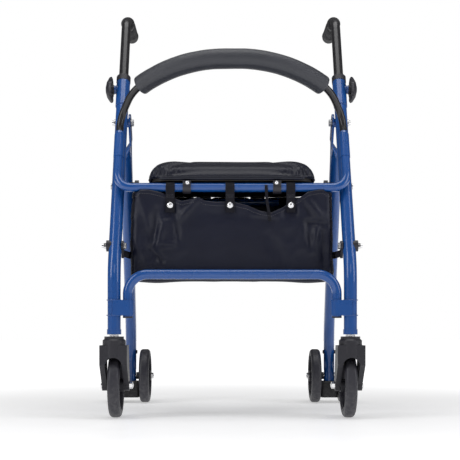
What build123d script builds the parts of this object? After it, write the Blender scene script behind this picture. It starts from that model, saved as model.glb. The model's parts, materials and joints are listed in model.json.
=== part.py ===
from build123d import *
from math import asin, atan2, cos, degrees, hypot, pi, radians, sin
import os

# A folding walking frame on six wheels, with a seat, a bag and a back rest. Millimetres, +Z up.
# The front faces -Y. The origin is on the floor, midway between the two wheel axles.
# "left" is the user's left hand: the user stands behind the frame and looks along -Y, so left is +X.

os.makedirs("parts", exist_ok=True)

# ---- Wheels ----
wheelbase = 440.0
wheel_diameter = 127.0
tyre_width = 23.0
tyre_depth = 15.5
hub_radius = 13.0
rim_depth = 4.0
web_thickness = 7.0
web_holes = 6
web_hole_diameter = 17.0
axle_diameter = 8.0
running_clearance = 0.05
body_gap = 0.4

# ---- Front legs and casters ----
leg_diameter = 25.4
leg_wall = 1.5
front_leg_x = 230.0
caster_trail = 35.0
stem_diameter = 11.0
stem_shoulder_diameter = 18.0
front_leg_bottom = wheel_diameter + 37.0
front_bend_z = 294.0
front_bend_radius = 120.0
front_lean = 26.0
front_leg_run = 452.0
receiver_diameter = leg_diameter + 3.2
receiver_length = 63.0
fork_gap = 33.6
fork_width = 53.4
crown_bottom = wheel_diameter - 8.3
crown_top = wheel_diameter + 33.0
crown_diameter = 45.0

# ---- Rear legs and their brakes ----
rear_foot_x = front_leg_x + 7.0
rear_leg_top_x = front_leg_x - 4.0
rear_leg_bottom = wheel_diameter / 2 - 32.5
rear_bend_z = 168.0
rear_bend_radius = 110.0
rear_wheel_offset = 34.0
tongue_thickness = 4.0
tongue_width = 37.0
tongue_length = 45.0
flare_length = 30.0
brake_travel = 12.0
tip_width = 38.6
tip_height = 39.0
spring_pin_z = wheel_diameter / 2 + 57.0
spring_wire = 1.8
spring_diameter = 17.0
spring_turns = 6

# ---- Main pivot ----
pivot_run = 362.0
pivot_setback = 21.0
pivot_boss_diameter = 18.0
pivot_bolt_diameter = 8.0
washer_thickness = 1.0

# ---- Cross tubes and seat ----
seat_tube_diameter = 18.0
seat_tube_z = 457.5
seat_tube_radius = 30.0
rear_tube_rise = 55.0
cross_tube_diameter = 19.0
cross_tube_z = 281.0
cross_tube_x = front_leg_x - 26.5
cross_tube_end_z = front_leg_bottom + 35.0
cross_tube_radius = cross_tube_z - cross_tube_end_z - 44.0
bracket_wall = 2.3
bracket_height = 30.0
seat_width = 2 * (front_leg_x - 59.0)
seat_depth = 282.0
seat_overhang = 11.0
seat_corner = 45.0
cushion_height = 40.0
board_thickness = 8.0
board_inset = 8.0
clamp_x = 90.0
clamp_width = 16.0
clamp_wall = 4.0
pad_x = 60.0

# ---- Folding side rails ----
rail_thickness = 4.0
rail_height = 16.0
rail_pin_diameter = 6.0
rail_front_z = 463.0
rail_middle_z = 477.0
rail_rear_z = 470.0
front_rail_x = front_leg_x - 20.0
rear_rail_x = front_leg_x - 24.5

# ---- Back rest ----
sleeve_diameter = seat_tube_diameter + 2.5
sleeve_start = 243.0
sleeve_length = 62.0
back_tube_diameter = 15.0
back_tube_wall = 1.5
foam_diameter = 40.0

# ---- Handles ----
handle_diameter = 20.0
handle_wall = 1.5
handle_insertion = 110.0
grip_z = 857.0
grip_end_y = 162.0
grip_length = 112.0
grip_diameter = 32.0
handle_bend_radius = 45.0
knob_diameter = 55.0
knob_run = 433.0
knob_stud_diameter = 8.0

# ---- Bag ----
bag_half_width = front_leg_x - 32.0
bag_bottom = 270.0
bag_top = 430.0
bag_wall = 2.5
strap_width = 18.0
strap_thickness = 1.2
strap_places = (-123.0, -4.0, 117.0)
strap_bottom = 409.0
snap_z = 421.0
catch_z = 338.0

# ---- Values worked out from the ones above ----
SIDES = {"left": 1, "right": -1}
wheel_radius = wheel_diameter / 2
rim_radius = wheel_radius - tyre_depth
leg_radius = leg_diameter / 2
leg_bore = leg_diameter - 2 * leg_wall
front_axle_y = -wheelbase / 2
rear_axle_y = wheelbase / 2
stem_y = front_axle_y - caster_trail
lean_sin = sin(radians(front_lean))
lean_cos = cos(radians(front_lean))
leg_face = front_leg_x - leg_radius


def front_point(x, run, forward=0.0):
    """A point on a front leg's sloping part: run along the leg, then square to it, forward and up."""
    y = stem_y + run * lean_sin - forward * lean_cos
    z = front_bend_z + run * lean_cos + forward * lean_sin
    return (x, y, z)


def front_run(z, forward=0.0):
    """The run at which front_point has the height z."""
    return (z - front_bend_z - forward * lean_sin) / lean_cos


pivot_y, pivot_z = front_point(0, pivot_run, -pivot_setback)[1:]
rear_slope = atan2(rear_axle_y - pivot_y, pivot_z - rear_bend_z)
rear_sin = sin(rear_slope)
rear_cos = cos(rear_slope)
rear_run_length = hypot(rear_axle_y - pivot_y, pivot_z - rear_bend_z)
round_run = rear_run_length - tongue_length - flare_length


def rear_point(x, run, behind=0.0):
    """A point on a rear leg's sloping part: run up the leg, then square to it, backward and up."""
    y = rear_axle_y - run * rear_sin + behind * rear_cos
    z = rear_bend_z + run * rear_cos + behind * rear_sin
    return (x, y, z)


def rear_run(z, behind=0.0):
    """The run at which rear_point has the height z."""
    return (z - rear_bend_z - behind * rear_sin) / rear_cos


def rear_leg_x(z):
    """The rear leg's centre leans inward from the foot to the pivot."""
    share = max(0.0, rear_run(z)) / round_run
    return rear_foot_x + (rear_leg_top_x - rear_foot_x) * share


# ---- Shapes used many times ----
def tube(points, radii, outer, wall=0.0):
    """A round tube, or a solid bar where wall is 0, along straight runs joined by arcs."""
    path = FilletPolyline(*points, radius=radii)
    end = Plane(origin=path @ 0, z_dir=path % 0)
    bar = sweep(end * Circle(outer / 2), path=path)
    if wall:
        bar -= sweep(end * Circle(outer / 2 - wall), path=path)
    return bar


def rod(start, end, diameter):
    """A straight round bar between two points."""
    along = Vector(end) - Vector(start)
    plane = Plane(origin=start, z_dir=along)
    return extrude(plane * Circle(diameter / 2), amount=along.length)


def ring(start, end, outer, bore):
    """A straight round sleeve between two points."""
    return rod(start, end, outer) - rod(start, end, bore)


def cross_rod(side, x_in, x_out, y, z, diameter):
    """A bar along X on one side of the frame."""
    return rod((side * x_in, y, z), (side * x_out, y, z), diameter)


def cross_ring(side, x_in, x_out, y, z, outer, bore):
    """A sleeve along X on one side of the frame."""
    return ring((side * x_in, y, z), (side * x_out, y, z), outer, bore)


def hexagon(side, x_in, x_out, y, z, across_flats):
    """A hexagonal head or nut along X, with its outer corners rounded off."""
    plane = Plane(origin=(side * x_in, y, z), z_dir=(side, 0, 0))
    length = x_out - x_in
    blank = extrude(plane * RegularPolygon(across_flats / 2, 6, major_radius=False), amount=length)
    return blank & cross_rod(side, x_in, x_out, y, z, across_flats * 1.1)


def slab(x_low, x_high, y_low, y_high, z_low, z_high):
    """A box between two corners."""
    size = (x_high - x_low, y_high - y_low, z_high - z_low)
    middle = ((x_low + x_high) / 2, (y_low + y_high) / 2, (z_low + z_high) / 2)
    return Pos(*middle) * Box(*size)


def keep(name, *pieces):
    """Writes one node's solids as one STEP file."""
    solids = [solid for piece in pieces for solid in piece.solids()]
    shape = solids[0] if len(solids) == 1 else Compound(children=solids)
    export_step(shape, f"parts/{name}.step")


def both(make):
    """The same piece on both sides, as two solids for one node."""
    return [make(side) for side in SIDES.values()]


# ---- Front legs: bent tube, caster collar, handle receiver, pivot boss and clamp boss ----
rail_front_y = front_point(0, front_run(rail_front_z))[1]
catch_y = front_point(0, front_run(catch_z))[1]
knob_y, knob_z = front_point(0, knob_run)[1:]
boss_end = front_leg_x + receiver_diameter / 2 + 4.0


def front_leg(side):
    x = side * front_leg_x
    corners = [(x, stem_y, front_leg_bottom), (x, stem_y, front_bend_z), front_point(x, front_leg_run)]
    leg = tube(corners, front_bend_radius, leg_diameter)
    leg += rod((x, stem_y, front_leg_bottom), (x, stem_y, front_leg_bottom + 10), leg_diameter + 2.4)
    receiver_start = front_point(x, front_leg_run - receiver_length)
    leg += rod(receiver_start, front_point(x, front_leg_run), receiver_diameter)
    leg += cross_rod(side, leg_face, front_leg_x + leg_radius, pivot_y, pivot_z, pivot_boss_diameter)
    leg += cross_rod(side, front_leg_x, boss_end, knob_y, knob_z, 18.0)
    leg -= tube(corners, front_bend_radius, leg_bore)
    reach = front_leg_x + 40
    leg -= cross_rod(side, leg_face - 5, reach, pivot_y, pivot_z, pivot_bolt_diameter)
    leg -= cross_rod(side, front_leg_x, reach, knob_y, knob_z, knob_stud_diameter + 2 * running_clearance)
    leg -= cross_rod(side, leg_face - 5, reach, rail_front_y, rail_front_z, rail_pin_diameter)
    leg -= cross_rod(side, leg_face - 5, reach, catch_y, catch_z, rail_pin_diameter)
    return leg


front_legs = {name: front_leg(side) for name, side in SIDES.items()}
for name, leg in front_legs.items():
    keep(f"front_leg_{name}", leg)

# ---- Front seat tube: a U that the seat hinges on, its ends turned up along the legs ----
sleeve_forward = leg_radius + sleeve_diameter / 2
seat_run = front_run(seat_tube_z, sleeve_forward)
seat_tube_y = front_point(0, seat_run, sleeve_forward)[1]
seat_tube_end = sleeve_start + 26.0
seat_corners = [
    front_point(-front_leg_x, seat_tube_end, sleeve_forward),
    front_point(-front_leg_x, seat_run, sleeve_forward),
    front_point(front_leg_x, seat_run, sleeve_forward),
    front_point(front_leg_x, seat_tube_end, sleeve_forward),
]
keep("front_seat_tube", tube(seat_corners, seat_tube_radius, seat_tube_diameter, leg_wall))


# ---- Sleeves that join the back rest to the seat tube ----
def sleeve(side):
    x = side * front_leg_x
    top = sleeve_start + sleeve_length
    taper = 6.0
    start = front_point(x, sleeve_start, sleeve_forward)
    shoulder = front_point(x, top - taper, sleeve_forward)
    body = rod(start, shoulder, sleeve_diameter)
    plane = Plane(origin=shoulder, z_dir=(0, lean_sin, lean_cos))
    mouth = plane.offset(taper) * Circle(back_tube_diameter / 2 + 1.2)
    body += loft([plane * Circle(sleeve_diameter / 2), mouth])
    inside = front_point(x, seat_tube_end, sleeve_forward)
    body -= rod(start, inside, seat_tube_diameter)
    return body - rod(inside, front_point(x, top, sleeve_forward), back_tube_diameter)


keep("backrest_sleeves", *both(sleeve))

# ---- Back rest: a tube that rises from the sleeves and bows forward, in a foam cover ----
back_corner_run = sleeve_start + sleeve_length + 36.0
back_start = front_point(front_leg_x, seat_tube_end + 1, sleeve_forward)
back_corner = front_point(front_leg_x, back_corner_run, sleeve_forward)
back_shoulder = (front_leg_x - 26.0, back_corner[1] - 24.0, back_corner[2] + 49.0)
back_brow = (110.0, back_shoulder[1] - 44.0, back_shoulder[2] + 57.0)
back_radii = [50.0, 85.0, 285.0, 285.0, 85.0, 50.0]


def mirrored(points):
    """The points, then the same points mirrored in X, in the order of one path from +X to -X."""
    return points + [(-x, y, z) for x, y, z in reversed(points)]


back_path = mirrored([back_start, back_corner, back_shoulder, back_brow])
keep("backrest_tube", tube(back_path, back_radii, back_tube_diameter, back_tube_wall))

foam_trim = 0.16
foam_start = tuple(a + (b - a) * foam_trim for a, b in zip(back_shoulder, back_brow))
foam_path = mirrored([foam_start, back_brow])
foam = tube(foam_path, 285.0, foam_diameter, (foam_diameter - back_tube_diameter) / 2)
keep("backrest_foam", foam)

# ---- Lower cross tube with the straps that weld it to the legs ----
cross_corners = mirrored([(cross_tube_x, stem_y, cross_tube_end_z), (cross_tube_x, stem_y, cross_tube_z)])
keep("lower_cross_tube", tube(cross_corners, cross_tube_radius, cross_tube_diameter, leg_wall))

bracket_z = cross_tube_end_z + 2.0


def belt(side, spread):
    """The outline round a leg and a cross tube end, spread outward by some millimetres."""
    big = leg_radius + spread
    small = cross_tube_diameter / 2 + spread
    span = front_leg_x - cross_tube_x
    tilt = asin((big - small) / span)
    edge_big = (front_leg_x + big * sin(tilt), big * cos(tilt))
    edge_small = (cross_tube_x + small * sin(tilt), small * cos(tilt))
    corners = [
        (side * edge_big[0], stem_y + edge_big[1]),
        (side * edge_small[0], stem_y + edge_small[1]),
        (side * edge_small[0], stem_y - edge_small[1]),
        (side * edge_big[0], stem_y - edge_big[1]),
    ]
    nose = Pos(side * cross_tube_x, stem_y) * Circle(small)
    return make_face(Polyline(*corners, close=True)) + nose


def bracket(side):
    plane = Plane.XY.offset(bracket_z)
    wrap = extrude(plane * belt(side, bracket_wall), amount=bracket_height)
    wrap -= extrude(plane * belt(side, 0.0), amount=bracket_height)
    x = side * front_leg_x
    return wrap - rod((x, stem_y, bracket_z), (x, stem_y, bracket_z + bracket_height), leg_diameter)


keep("cross_tube_brackets", *both(bracket))


# ---- Plugs in the cross tube's ends and the caster bushes in the legs ----
bush_length = 36.0
bush_top = front_leg_bottom + bush_length


def cross_plug(side):
    x = side * cross_tube_x
    cap = rod((x, stem_y, cross_tube_end_z - 3), (x, stem_y, cross_tube_end_z), cross_tube_diameter)
    bore = cross_tube_diameter - 2 * leg_wall
    return cap + rod((x, stem_y, cross_tube_end_z), (x, stem_y, cross_tube_end_z + 12), bore)


def caster_bush(side):
    x = side * front_leg_x
    bore = stem_diameter + 2 * running_clearance
    return ring((x, stem_y, front_leg_bottom), (x, stem_y, bush_top), leg_bore, bore)


keep("tube_plugs", *both(cross_plug), *both(caster_bush))

# ---- Collars at the legs' open ends, where the handles slide ----
handle_bore = handle_diameter + 2 * running_clearance


def collar(side):
    x = side * front_leg_x
    top = front_point(x, front_leg_run + 13)
    mouth = front_point(x, front_leg_run)
    guide = front_point(x, front_leg_run - 9)
    body = rod(mouth, top, receiver_diameter + 1.4) + rod(guide, mouth, leg_bore)
    return body - rod(guide, top, handle_bore)


keep("handle_collars", *both(collar))


# ---- Fasteners of the front frame: pivot bolts, catch bolts and rail pins, with their nuts ----
tongue_in = leg_face - washer_thickness - tongue_thickness
pivot_head_out = tongue_in - washer_thickness
catch_out = front_leg_x + leg_radius


def pivot_bolt(side):
    head = hexagon(side, pivot_head_out - 5, pivot_head_out, pivot_y, pivot_z, 13.0)
    return head + cross_rod(side, pivot_head_out - 5, catch_out + 7, pivot_y, pivot_z, pivot_bolt_diameter)


def catch_bolt(side):
    head = hexagon(side, leg_face - 9, leg_face - 4.5, catch_y, catch_z, 12.0)
    return head + cross_rod(side, leg_face - 9, catch_out + 10, catch_y, catch_z, rail_pin_diameter)


def front_rail_pin(side):
    head_x = front_rail_x - rail_thickness / 2 - body_gap
    pin = cross_rod(side, head_x - 2, catch_out + 2, rail_front_y, rail_front_z, rail_pin_diameter)
    pin += cross_rod(side, head_x - 2, head_x, rail_front_y, rail_front_z, 12.0)
    return pin + cross_rod(side, catch_out, catch_out + 2, rail_front_y, rail_front_z, 12.0)


keep("frame_bolts", *both(pivot_bolt), *both(catch_bolt), *both(front_rail_pin))


def domed_nut(side, x_in, y, z, across_flats, bolt):
    body = hexagon(side, x_in, x_in + 5, y, z, across_flats)
    body += cross_rod(side, x_in + 5, x_in + 9, y, z, across_flats * 0.8)
    return body - cross_rod(side, x_in, x_in + 7, y, z, bolt)


def pivot_nut(side):
    return domed_nut(side, catch_out, pivot_y, pivot_z, 13.0, pivot_bolt_diameter)


def catch_nut(side):
    return domed_nut(side, catch_out + 4.5, catch_y, catch_z, 10.0, rail_pin_diameter)


keep("frame_nuts", *both(pivot_nut), *both(catch_nut))

# ---- Plastic washers, spacers and caps of the front frame ----
washer_bore = pivot_bolt_diameter


def saddle_cap(side):
    cap = cross_rod(side, front_leg_x + 6, catch_out + 4.5, catch_y, catch_z, 22.0)
    cap -= cross_rod(side, front_leg_x, catch_out + 5, catch_y, catch_z, rail_pin_diameter)
    x = side * front_leg_x
    run = front_run(catch_z)
    return cap - rod(front_point(x, run - 40), front_point(x, run + 40), leg_diameter)


def inner_washer(side):
    return cross_ring(side, pivot_head_out, tongue_in - 0.1, pivot_y, pivot_z, 18.0, washer_bore)


def outer_washer(side):
    return cross_ring(side, leg_face - washer_thickness + 0.1, leg_face, pivot_y, pivot_z, 18.0, washer_bore)


def front_rail_spacer(side):
    start = front_rail_x + rail_thickness / 2 + body_gap
    body = cross_ring(side, start, leg_face + 4, rail_front_y, rail_front_z, 13.0, rail_pin_diameter)
    x = side * front_leg_x
    run = front_run(rail_front_z)
    return body - rod(front_point(x, run - 40), front_point(x, run + 40), leg_diameter)


keep(
    "frame_caps",
    *both(saddle_cap),
    *both(inner_washer),
    *both(outer_washer),
    *both(front_rail_spacer),
)


# ---- Anchors that hold the bag's side straps to the legs ----
anchor_thickness = 4.5
anchor_width = 20.0
anchor_length = 24.0


def strap_anchor(side):
    start = leg_face - anchor_thickness
    plane = Plane(origin=(side * start, catch_y, catch_z), x_dir=(0, 1, 0), z_dir=(side, 0, 0))
    outline = Circle(anchor_width / 2) + Pos(0, -side * anchor_length / 2) * Rectangle(12.0, anchor_length)
    plate = extrude(plane * outline, amount=anchor_thickness)
    return plate - cross_rod(side, start - 1, leg_face + 1, catch_y, catch_z, rail_pin_diameter)


keep("strap_anchors", *both(strap_anchor))

# ---- Bag: one open box of cloth under the seat, with its straps and snaps ----
rear_forward = leg_radius + seat_tube_diameter / 2 + body_gap
rear_tube_run = rear_run(seat_tube_z, rear_forward)
rear_tube_y = rear_point(0, rear_tube_run, rear_forward)[1]
bag_front = seat_tube_y - seat_tube_diameter / 2
bag_rear = rear_tube_y + seat_tube_diameter / 2 - body_gap


def bag_block(inset, low, high):
    depth = bag_rear - bag_front - 2 * inset
    width = 2 * (bag_half_width - inset)
    outline = Pos(0, (bag_front + bag_rear) / 2, low) * RectangleRounded(width, depth, 14.0 - inset)
    block = extrude(outline, amount=high - low)
    return fillet(block.faces().sort_by(Axis.Z)[0].edges(), 14.0 - inset - 0.5)


bag = bag_block(0.0, bag_bottom, bag_top) - bag_block(bag_wall, bag_bottom + bag_wall, bag_top + 30)
keep("bag", bag)


def strap(x, tube_y, facing):
    """A strap round a seat tube, its tail hanging on the bag's outer face."""
    radius = seat_tube_diameter / 2
    loop = ring(
        (x - strap_width / 2, tube_y, seat_tube_z),
        (x + strap_width / 2, tube_y, seat_tube_z),
        2 * (radius + strap_thickness),
        2 * radius,
    )
    near = tube_y + facing * radius
    far = near + facing * strap_thickness
    low_y, high_y = min(near, far), max(near, far)
    return loop + slab(x - strap_width / 2, x + strap_width / 2, low_y, high_y, strap_bottom, seat_tube_z)


def side_strap(side):
    """A short band from the bag's corner to the anchor on the leg."""
    far = (side * (leg_face - 4.6), catch_y)
    near = (side * bag_half_width, bag_front + 20)
    shift = 1.2
    band = Polyline(near, far, (far[0], far[1] + shift), (near[0], near[1] + shift), close=True)
    return extrude(Plane.XY.offset(catch_z - 22) * make_face(band), amount=14.0)


front_straps = [strap(x, seat_tube_y, -1) for x in strap_places]
keep("bag_front_straps", *front_straps, *both(side_strap))
keep("bag_rear_straps", *[strap(x, rear_tube_y, 1) for x in strap_places])

snap_face = bag_front - strap_thickness
snaps = [rod((x, snap_face - 2.2, snap_z), (x, snap_face, snap_z), 11.0) for x in strap_places]
keep("bag_snaps", *[fillet(s.edges().sort_by(Axis.Y)[0], 1.6) for s in snaps])


# ---- Rear legs: a bent tube, slotted for the axle, pinched flat at the pivot ----
tongue_x = tongue_in + tongue_thickness / 2
rail_rear_y = rear_point(0, rear_run(rail_rear_z))[1]


def rear_leg():
    """The left rear leg; the right one is its mirror image."""
    side = SIDES["left"]
    foot = side * rear_foot_x
    round_end = rear_point(side * rear_leg_top_x, round_run)
    corners = [(foot, rear_axle_y, rear_leg_bottom), (foot, rear_axle_y, rear_bend_z), round_end]
    leg = tube(corners, rear_bend_radius, leg_diameter, leg_wall)
    up = (0, -rear_sin, rear_cos)
    circle = Plane(origin=round_end, x_dir=(1, 0, 0), z_dir=up) * Circle(leg_radius)
    flat_start = rear_point(side * tongue_x, round_run + flare_length)
    flat_plane = Plane(origin=flat_start, x_dir=(1, 0, 0), z_dir=up)
    flat = flat_plane * Ellipse(tongue_thickness / 2, tongue_width / 2)
    leg += loft([circle, flat])
    plane = Plane(origin=(side * tongue_in, pivot_y, pivot_z), x_dir=up, z_dir=(side, 0, 0))
    plate = Circle(tongue_width / 2) + Pos(-tongue_length / 2) * Rectangle(tongue_length, tongue_width)
    leg += extrude(plane * plate, amount=tongue_thickness)
    hole = pivot_bolt_diameter + 2 * running_clearance
    leg -= cross_rod(side, tongue_in - 5, leg_face + 5, pivot_y, pivot_z, hole)
    reach_in, reach_out = rear_foot_x - 30, rear_foot_x + 30
    slot_centre = (side * reach_in, rear_axle_y, wheel_radius + brake_travel / 2)
    slot_plane = Plane(origin=slot_centre, x_dir=(0, 0, 1), z_dir=(side, 0, 0))
    slot_width = axle_diameter + 1.0
    slot = SlotCenterToCenter(brake_travel, slot_width)
    leg -= extrude(slot_plane * slot, amount=reach_out - reach_in)
    leg -= cross_rod(side, reach_in, reach_out, rear_axle_y, spring_pin_z, 5.0)
    return leg - cross_rod(side, reach_in - 10, reach_out, rail_rear_y, rail_rear_z, rail_pin_diameter)


left_rear_leg = rear_leg()
keep("rear_leg_left", left_rear_leg)
keep("rear_leg_right", mirror(left_rear_leg, about=Plane.YZ))

rear_tube_x = rear_leg_x(seat_tube_z)
rear_tube_top = rear_tube_run + rear_tube_rise
rear_half = [
    rear_point(rear_tube_x, rear_tube_top, rear_forward),
    rear_point(rear_tube_x, rear_tube_run, rear_forward),
]
keep("rear_seat_tube", tube(mirrored(rear_half), seat_tube_radius, seat_tube_diameter, leg_wall))

# ---- Rubber brake tips that the rear legs stand in ----
tip_bottom = brake_travel


def brake_tip(side):
    x = side * rear_foot_x
    block = Pos(x, rear_axle_y, tip_bottom) * RectangleRounded(tip_width, tip_width, 6.0)
    tip = extrude(block, amount=tip_height)
    tip = chamfer(tip.faces().sort_by(Axis.Z)[-1].edges(), 3.0)
    return tip - rod((x, rear_axle_y, rear_leg_bottom), (x, rear_axle_y, 90), leg_diameter)


keep("brake_tips", *both(brake_tip))


# ---- Pins of the rear frame, with their caps ----
def spring_pin(side):
    reach = leg_radius + 1
    return cross_rod(side, rear_foot_x - reach, rear_foot_x + reach, rear_axle_y, spring_pin_z, 5.0)


def rear_rail_pin(side):
    head_x = rear_rail_x - rail_thickness / 2 - body_gap
    centre = rear_leg_x(rail_rear_z)
    pin = cross_rod(side, head_x - 2, centre + leg_radius + 1, rail_rear_y, rail_rear_z, rail_pin_diameter)
    return pin + cross_rod(side, head_x - 2, head_x, rail_rear_y, rail_rear_z, 12.0)


keep("rear_pins", *both(spring_pin), *both(rear_rail_pin))


def spring_pin_cap(side, outward):
    inner = rear_foot_x + outward * (leg_radius - 1.0)
    outer = rear_foot_x + outward * (leg_radius + 2.4)
    cap = cross_rod(side, min(inner, outer), max(inner, outer), rear_axle_y, spring_pin_z, 9.0)
    cap -= spring_pin(side)
    x = side * rear_foot_x
    return cap - rod((x, rear_axle_y, 90), (x, rear_axle_y, 150), leg_diameter)


def rear_rail_spacer(side):
    start = rear_rail_x + rail_thickness / 2 + body_gap
    centre = rear_leg_x(rail_rear_z)
    end = centre - leg_radius + 3.0
    body = cross_ring(side, start, end, rail_rear_y, rail_rear_z, 13.0, rail_pin_diameter)
    low = rear_point(side * rear_leg_x(rail_rear_z - 40), rear_run(rail_rear_z - 40))
    high = rear_point(side * rear_leg_x(rail_rear_z + 40), rear_run(rail_rear_z + 40))
    return body - rod(low, high, leg_diameter)


inner_caps = [spring_pin_cap(side, -1) for side in SIDES.values()]
outer_caps = [spring_pin_cap(side, 1) for side in SIDES.values()]
keep("rear_pin_caps", *inner_caps, *outer_caps, *both(rear_rail_spacer))

# ---- Rear axles, their spacers and plungers, and the brake springs ----
plunger_top = wheel_radius + 12.0
rear_hub_width = 28.0
spring_bottom = plunger_top + 0.3
spring_top = spring_pin_z - 2.5 - 0.3
axle_half = rear_wheel_offset + rear_hub_width / 2 + 7.0

for name, side in SIDES.items():
    x_in, x_out = rear_foot_x - axle_half, rear_foot_x + axle_half
    nut_in = rear_foot_x - rear_wheel_offset - rear_hub_width / 2 - 0.5
    nut_out = rear_foot_x + rear_wheel_offset + rear_hub_width / 2 + 0.5
    axle = cross_rod(side, x_in, x_out, rear_axle_y, wheel_radius, axle_diameter)
    axle += hexagon(side, nut_in - 5.5, nut_in, rear_axle_y, wheel_radius, 13.0)
    axle += hexagon(side, nut_out, nut_out + 5.5, rear_axle_y, wheel_radius, 13.0)
    keep(f"rear_axle_{name}", axle)

    near, far = leg_radius + body_gap, rear_wheel_offset - rear_hub_width / 2 - 0.2
    spans = [(rear_foot_x - far, rear_foot_x - near), (rear_foot_x + near, rear_foot_x + far)]
    spacers = [cross_ring(side, a, b, rear_axle_y, wheel_radius, 17.0, axle_diameter) for a, b in spans]
    foot = side * rear_foot_x
    plunger = rod((foot, rear_axle_y, wheel_radius - 9), (foot, rear_axle_y, plunger_top), leg_bore - 0.8)
    plunger -= cross_rod(side, rear_foot_x - 20, rear_foot_x + 20, rear_axle_y, wheel_radius, axle_diameter)
    keep(f"rear_spacers_{name}", *spacers, plunger)

    coil_height = spring_top - spring_bottom - spring_wire
    coil_radius = (spring_diameter - spring_wire) / 2
    coil = Helix(pitch=coil_height / spring_turns, height=coil_height, radius=coil_radius)
    coil = Pos(foot, rear_axle_y, spring_bottom + spring_wire / 2) * coil
    wire = Plane(origin=coil @ 0, z_dir=coil % 0) * Circle(spring_wire / 2)
    keep(f"brake_spring_{name}", sweep(wire, path=coil))


# ---- Wheels: a tyre on a drilled hub ----
def wheel(x, y, hub_width):
    """The tyre and the hub of one wheel, turning about X."""
    plane = Plane(origin=(x, y, wheel_radius), x_dir=(1, 0, 0), z_dir=(0, -1, 0))
    tread = Pos(0, rim_radius + tyre_depth / 2) * Rectangle(tyre_width, tyre_depth)
    tread = fillet(tread.vertices().group_by(Axis.Y)[-1], 7.0)
    centre_line = Axis((x, y, wheel_radius), (1, 0, 0))
    tyre = revolve(plane * tread, axis=centre_line)
    rim = Pos(0, rim_radius - rim_depth / 2) * Rectangle(tyre_width - 4, rim_depth)
    web = Pos(0, rim_radius / 2) * Rectangle(web_thickness, rim_radius)
    boss = Pos(0, hub_radius / 2) * Rectangle(hub_width, hub_radius)
    hub = revolve(plane * (rim + web + boss), axis=centre_line)
    middle = (rim_radius - rim_depth + hub_radius) / 2
    for step in range(web_holes):
        angle = 2 * pi * step / web_holes
        hole_y, hole_z = y + middle * cos(angle), wheel_radius + middle * sin(angle)
        hub -= rod((x - 10, hole_y, hole_z), (x + 10, hole_y, hole_z), web_hole_diameter)
    bore = axle_diameter + 2 * running_clearance
    hub -= rod((x - 30, y, wheel_radius), (x + 30, y, wheel_radius), bore)
    return tyre, hub


for name, side in SIDES.items():
    for place, outward in (("inner", -1), ("outer", 1)):
        x = side * (rear_foot_x + outward * rear_wheel_offset)
        tyre, hub = wheel(x, rear_axle_y, rear_hub_width)
        keep(f"rear_tyre_{name}_{place}", tyre)
        keep(f"rear_hub_{name}_{place}", hub)

# ---- Casters: fork, stem, axle bolt and wheel ----
prong_radius = 11.0
tyre_gap = 5.0
caster_hub_width = fork_gap - 1.0


def caster_fork(side):
    x = side * front_leg_x
    crown = rod((x, stem_y, crown_bottom), (x, stem_y, crown_top - 4), crown_diameter)
    crown = chamfer(crown.edges().sort_by(Axis.Z)[-1], 4.0)
    crown += rod((x, stem_y, crown_top - 4), (x, stem_y, crown_top), 38.0)
    back = stem_y + crown_diameter / 2
    front = stem_y - crown_diameter / 2 + 2
    shoulder = crown_top - 17.0
    plane = Plane(origin=(x - fork_width / 2, 0, 0), x_dir=(0, 1, 0), z_dir=(1, 0, 0))
    corners = [
        (front, shoulder),
        (back, shoulder),
        (front_axle_y + prong_radius, wheel_radius),
        (front_axle_y - prong_radius, wheel_radius),
        (front, crown_bottom - 14.0),
    ]
    profile = make_face(Polyline(*corners, close=True))
    profile += Pos(front_axle_y, wheel_radius) * Circle(prong_radius)
    cheeks = extrude(plane * profile, amount=fork_width)
    fork = crown + cheeks
    half = fork_gap / 2
    arch_spring = crown_bottom - half
    arch = Pos(0, -arch_spring) * Circle(half) + Pos(0, -arch_spring / 2) * Rectangle(fork_gap, arch_spring)
    arch_plane = Plane(origin=(x, stem_y - 60, 0), x_dir=(1, 0, 0), z_dir=(0, 1, 0))
    fork -= extrude(arch_plane * arch, amount=120)
    wheel_room = wheel_diameter + 2 * tyre_gap
    fork -= rod((x - half, front_axle_y, wheel_radius), (x + half, front_axle_y, wheel_radius), wheel_room)
    fork -= rod((x - 40, front_axle_y, wheel_radius), (x + 40, front_axle_y, wheel_radius), axle_diameter)
    return fork - rod((x, stem_y, 90), (x, stem_y, 200), stem_diameter)


for name, side in SIDES.items():
    x = side * front_leg_x
    keep(f"caster_fork_{name}", caster_fork(side))

    stem = rod((x, stem_y, crown_top - 14), (x, stem_y, bush_top + 6), stem_diameter)
    stem += rod((x, stem_y, bush_top + body_gap), (x, stem_y, bush_top + 3), 16.0)
    stem += rod((x, stem_y, crown_top), (x, stem_y, front_leg_bottom - body_gap), stem_shoulder_diameter)
    half = fork_width / 2
    inner, outer = front_leg_x - half, front_leg_x + half
    bolt = cross_rod(side, inner - 8, outer + 2.5, front_axle_y, wheel_radius, axle_diameter)
    bolt += cross_rod(side, outer, outer + 2.5, front_axle_y, wheel_radius, 14.0)
    bolt += hexagon(side, inner - 6.5, inner, front_axle_y, wheel_radius, 13.0)
    keep(f"caster_fasteners_{name}", stem, bolt)

    tyre, hub = wheel(x, front_axle_y, caster_hub_width)
    keep(f"caster_tyre_{name}", tyre)
    keep(f"caster_hub_{name}", hub)

# ---- Handles: a bent tube that slides in the leg, with its grip and clamp knob ----
handle_corner_run = front_run(grip_z)
grip_start_y = grip_end_y - grip_length


def handle_points(side):
    x = side * front_leg_x
    corner = front_point(x, handle_corner_run)
    return [front_point(x, front_leg_run - handle_insertion), corner, (x, grip_end_y - 8, grip_z)]


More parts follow.
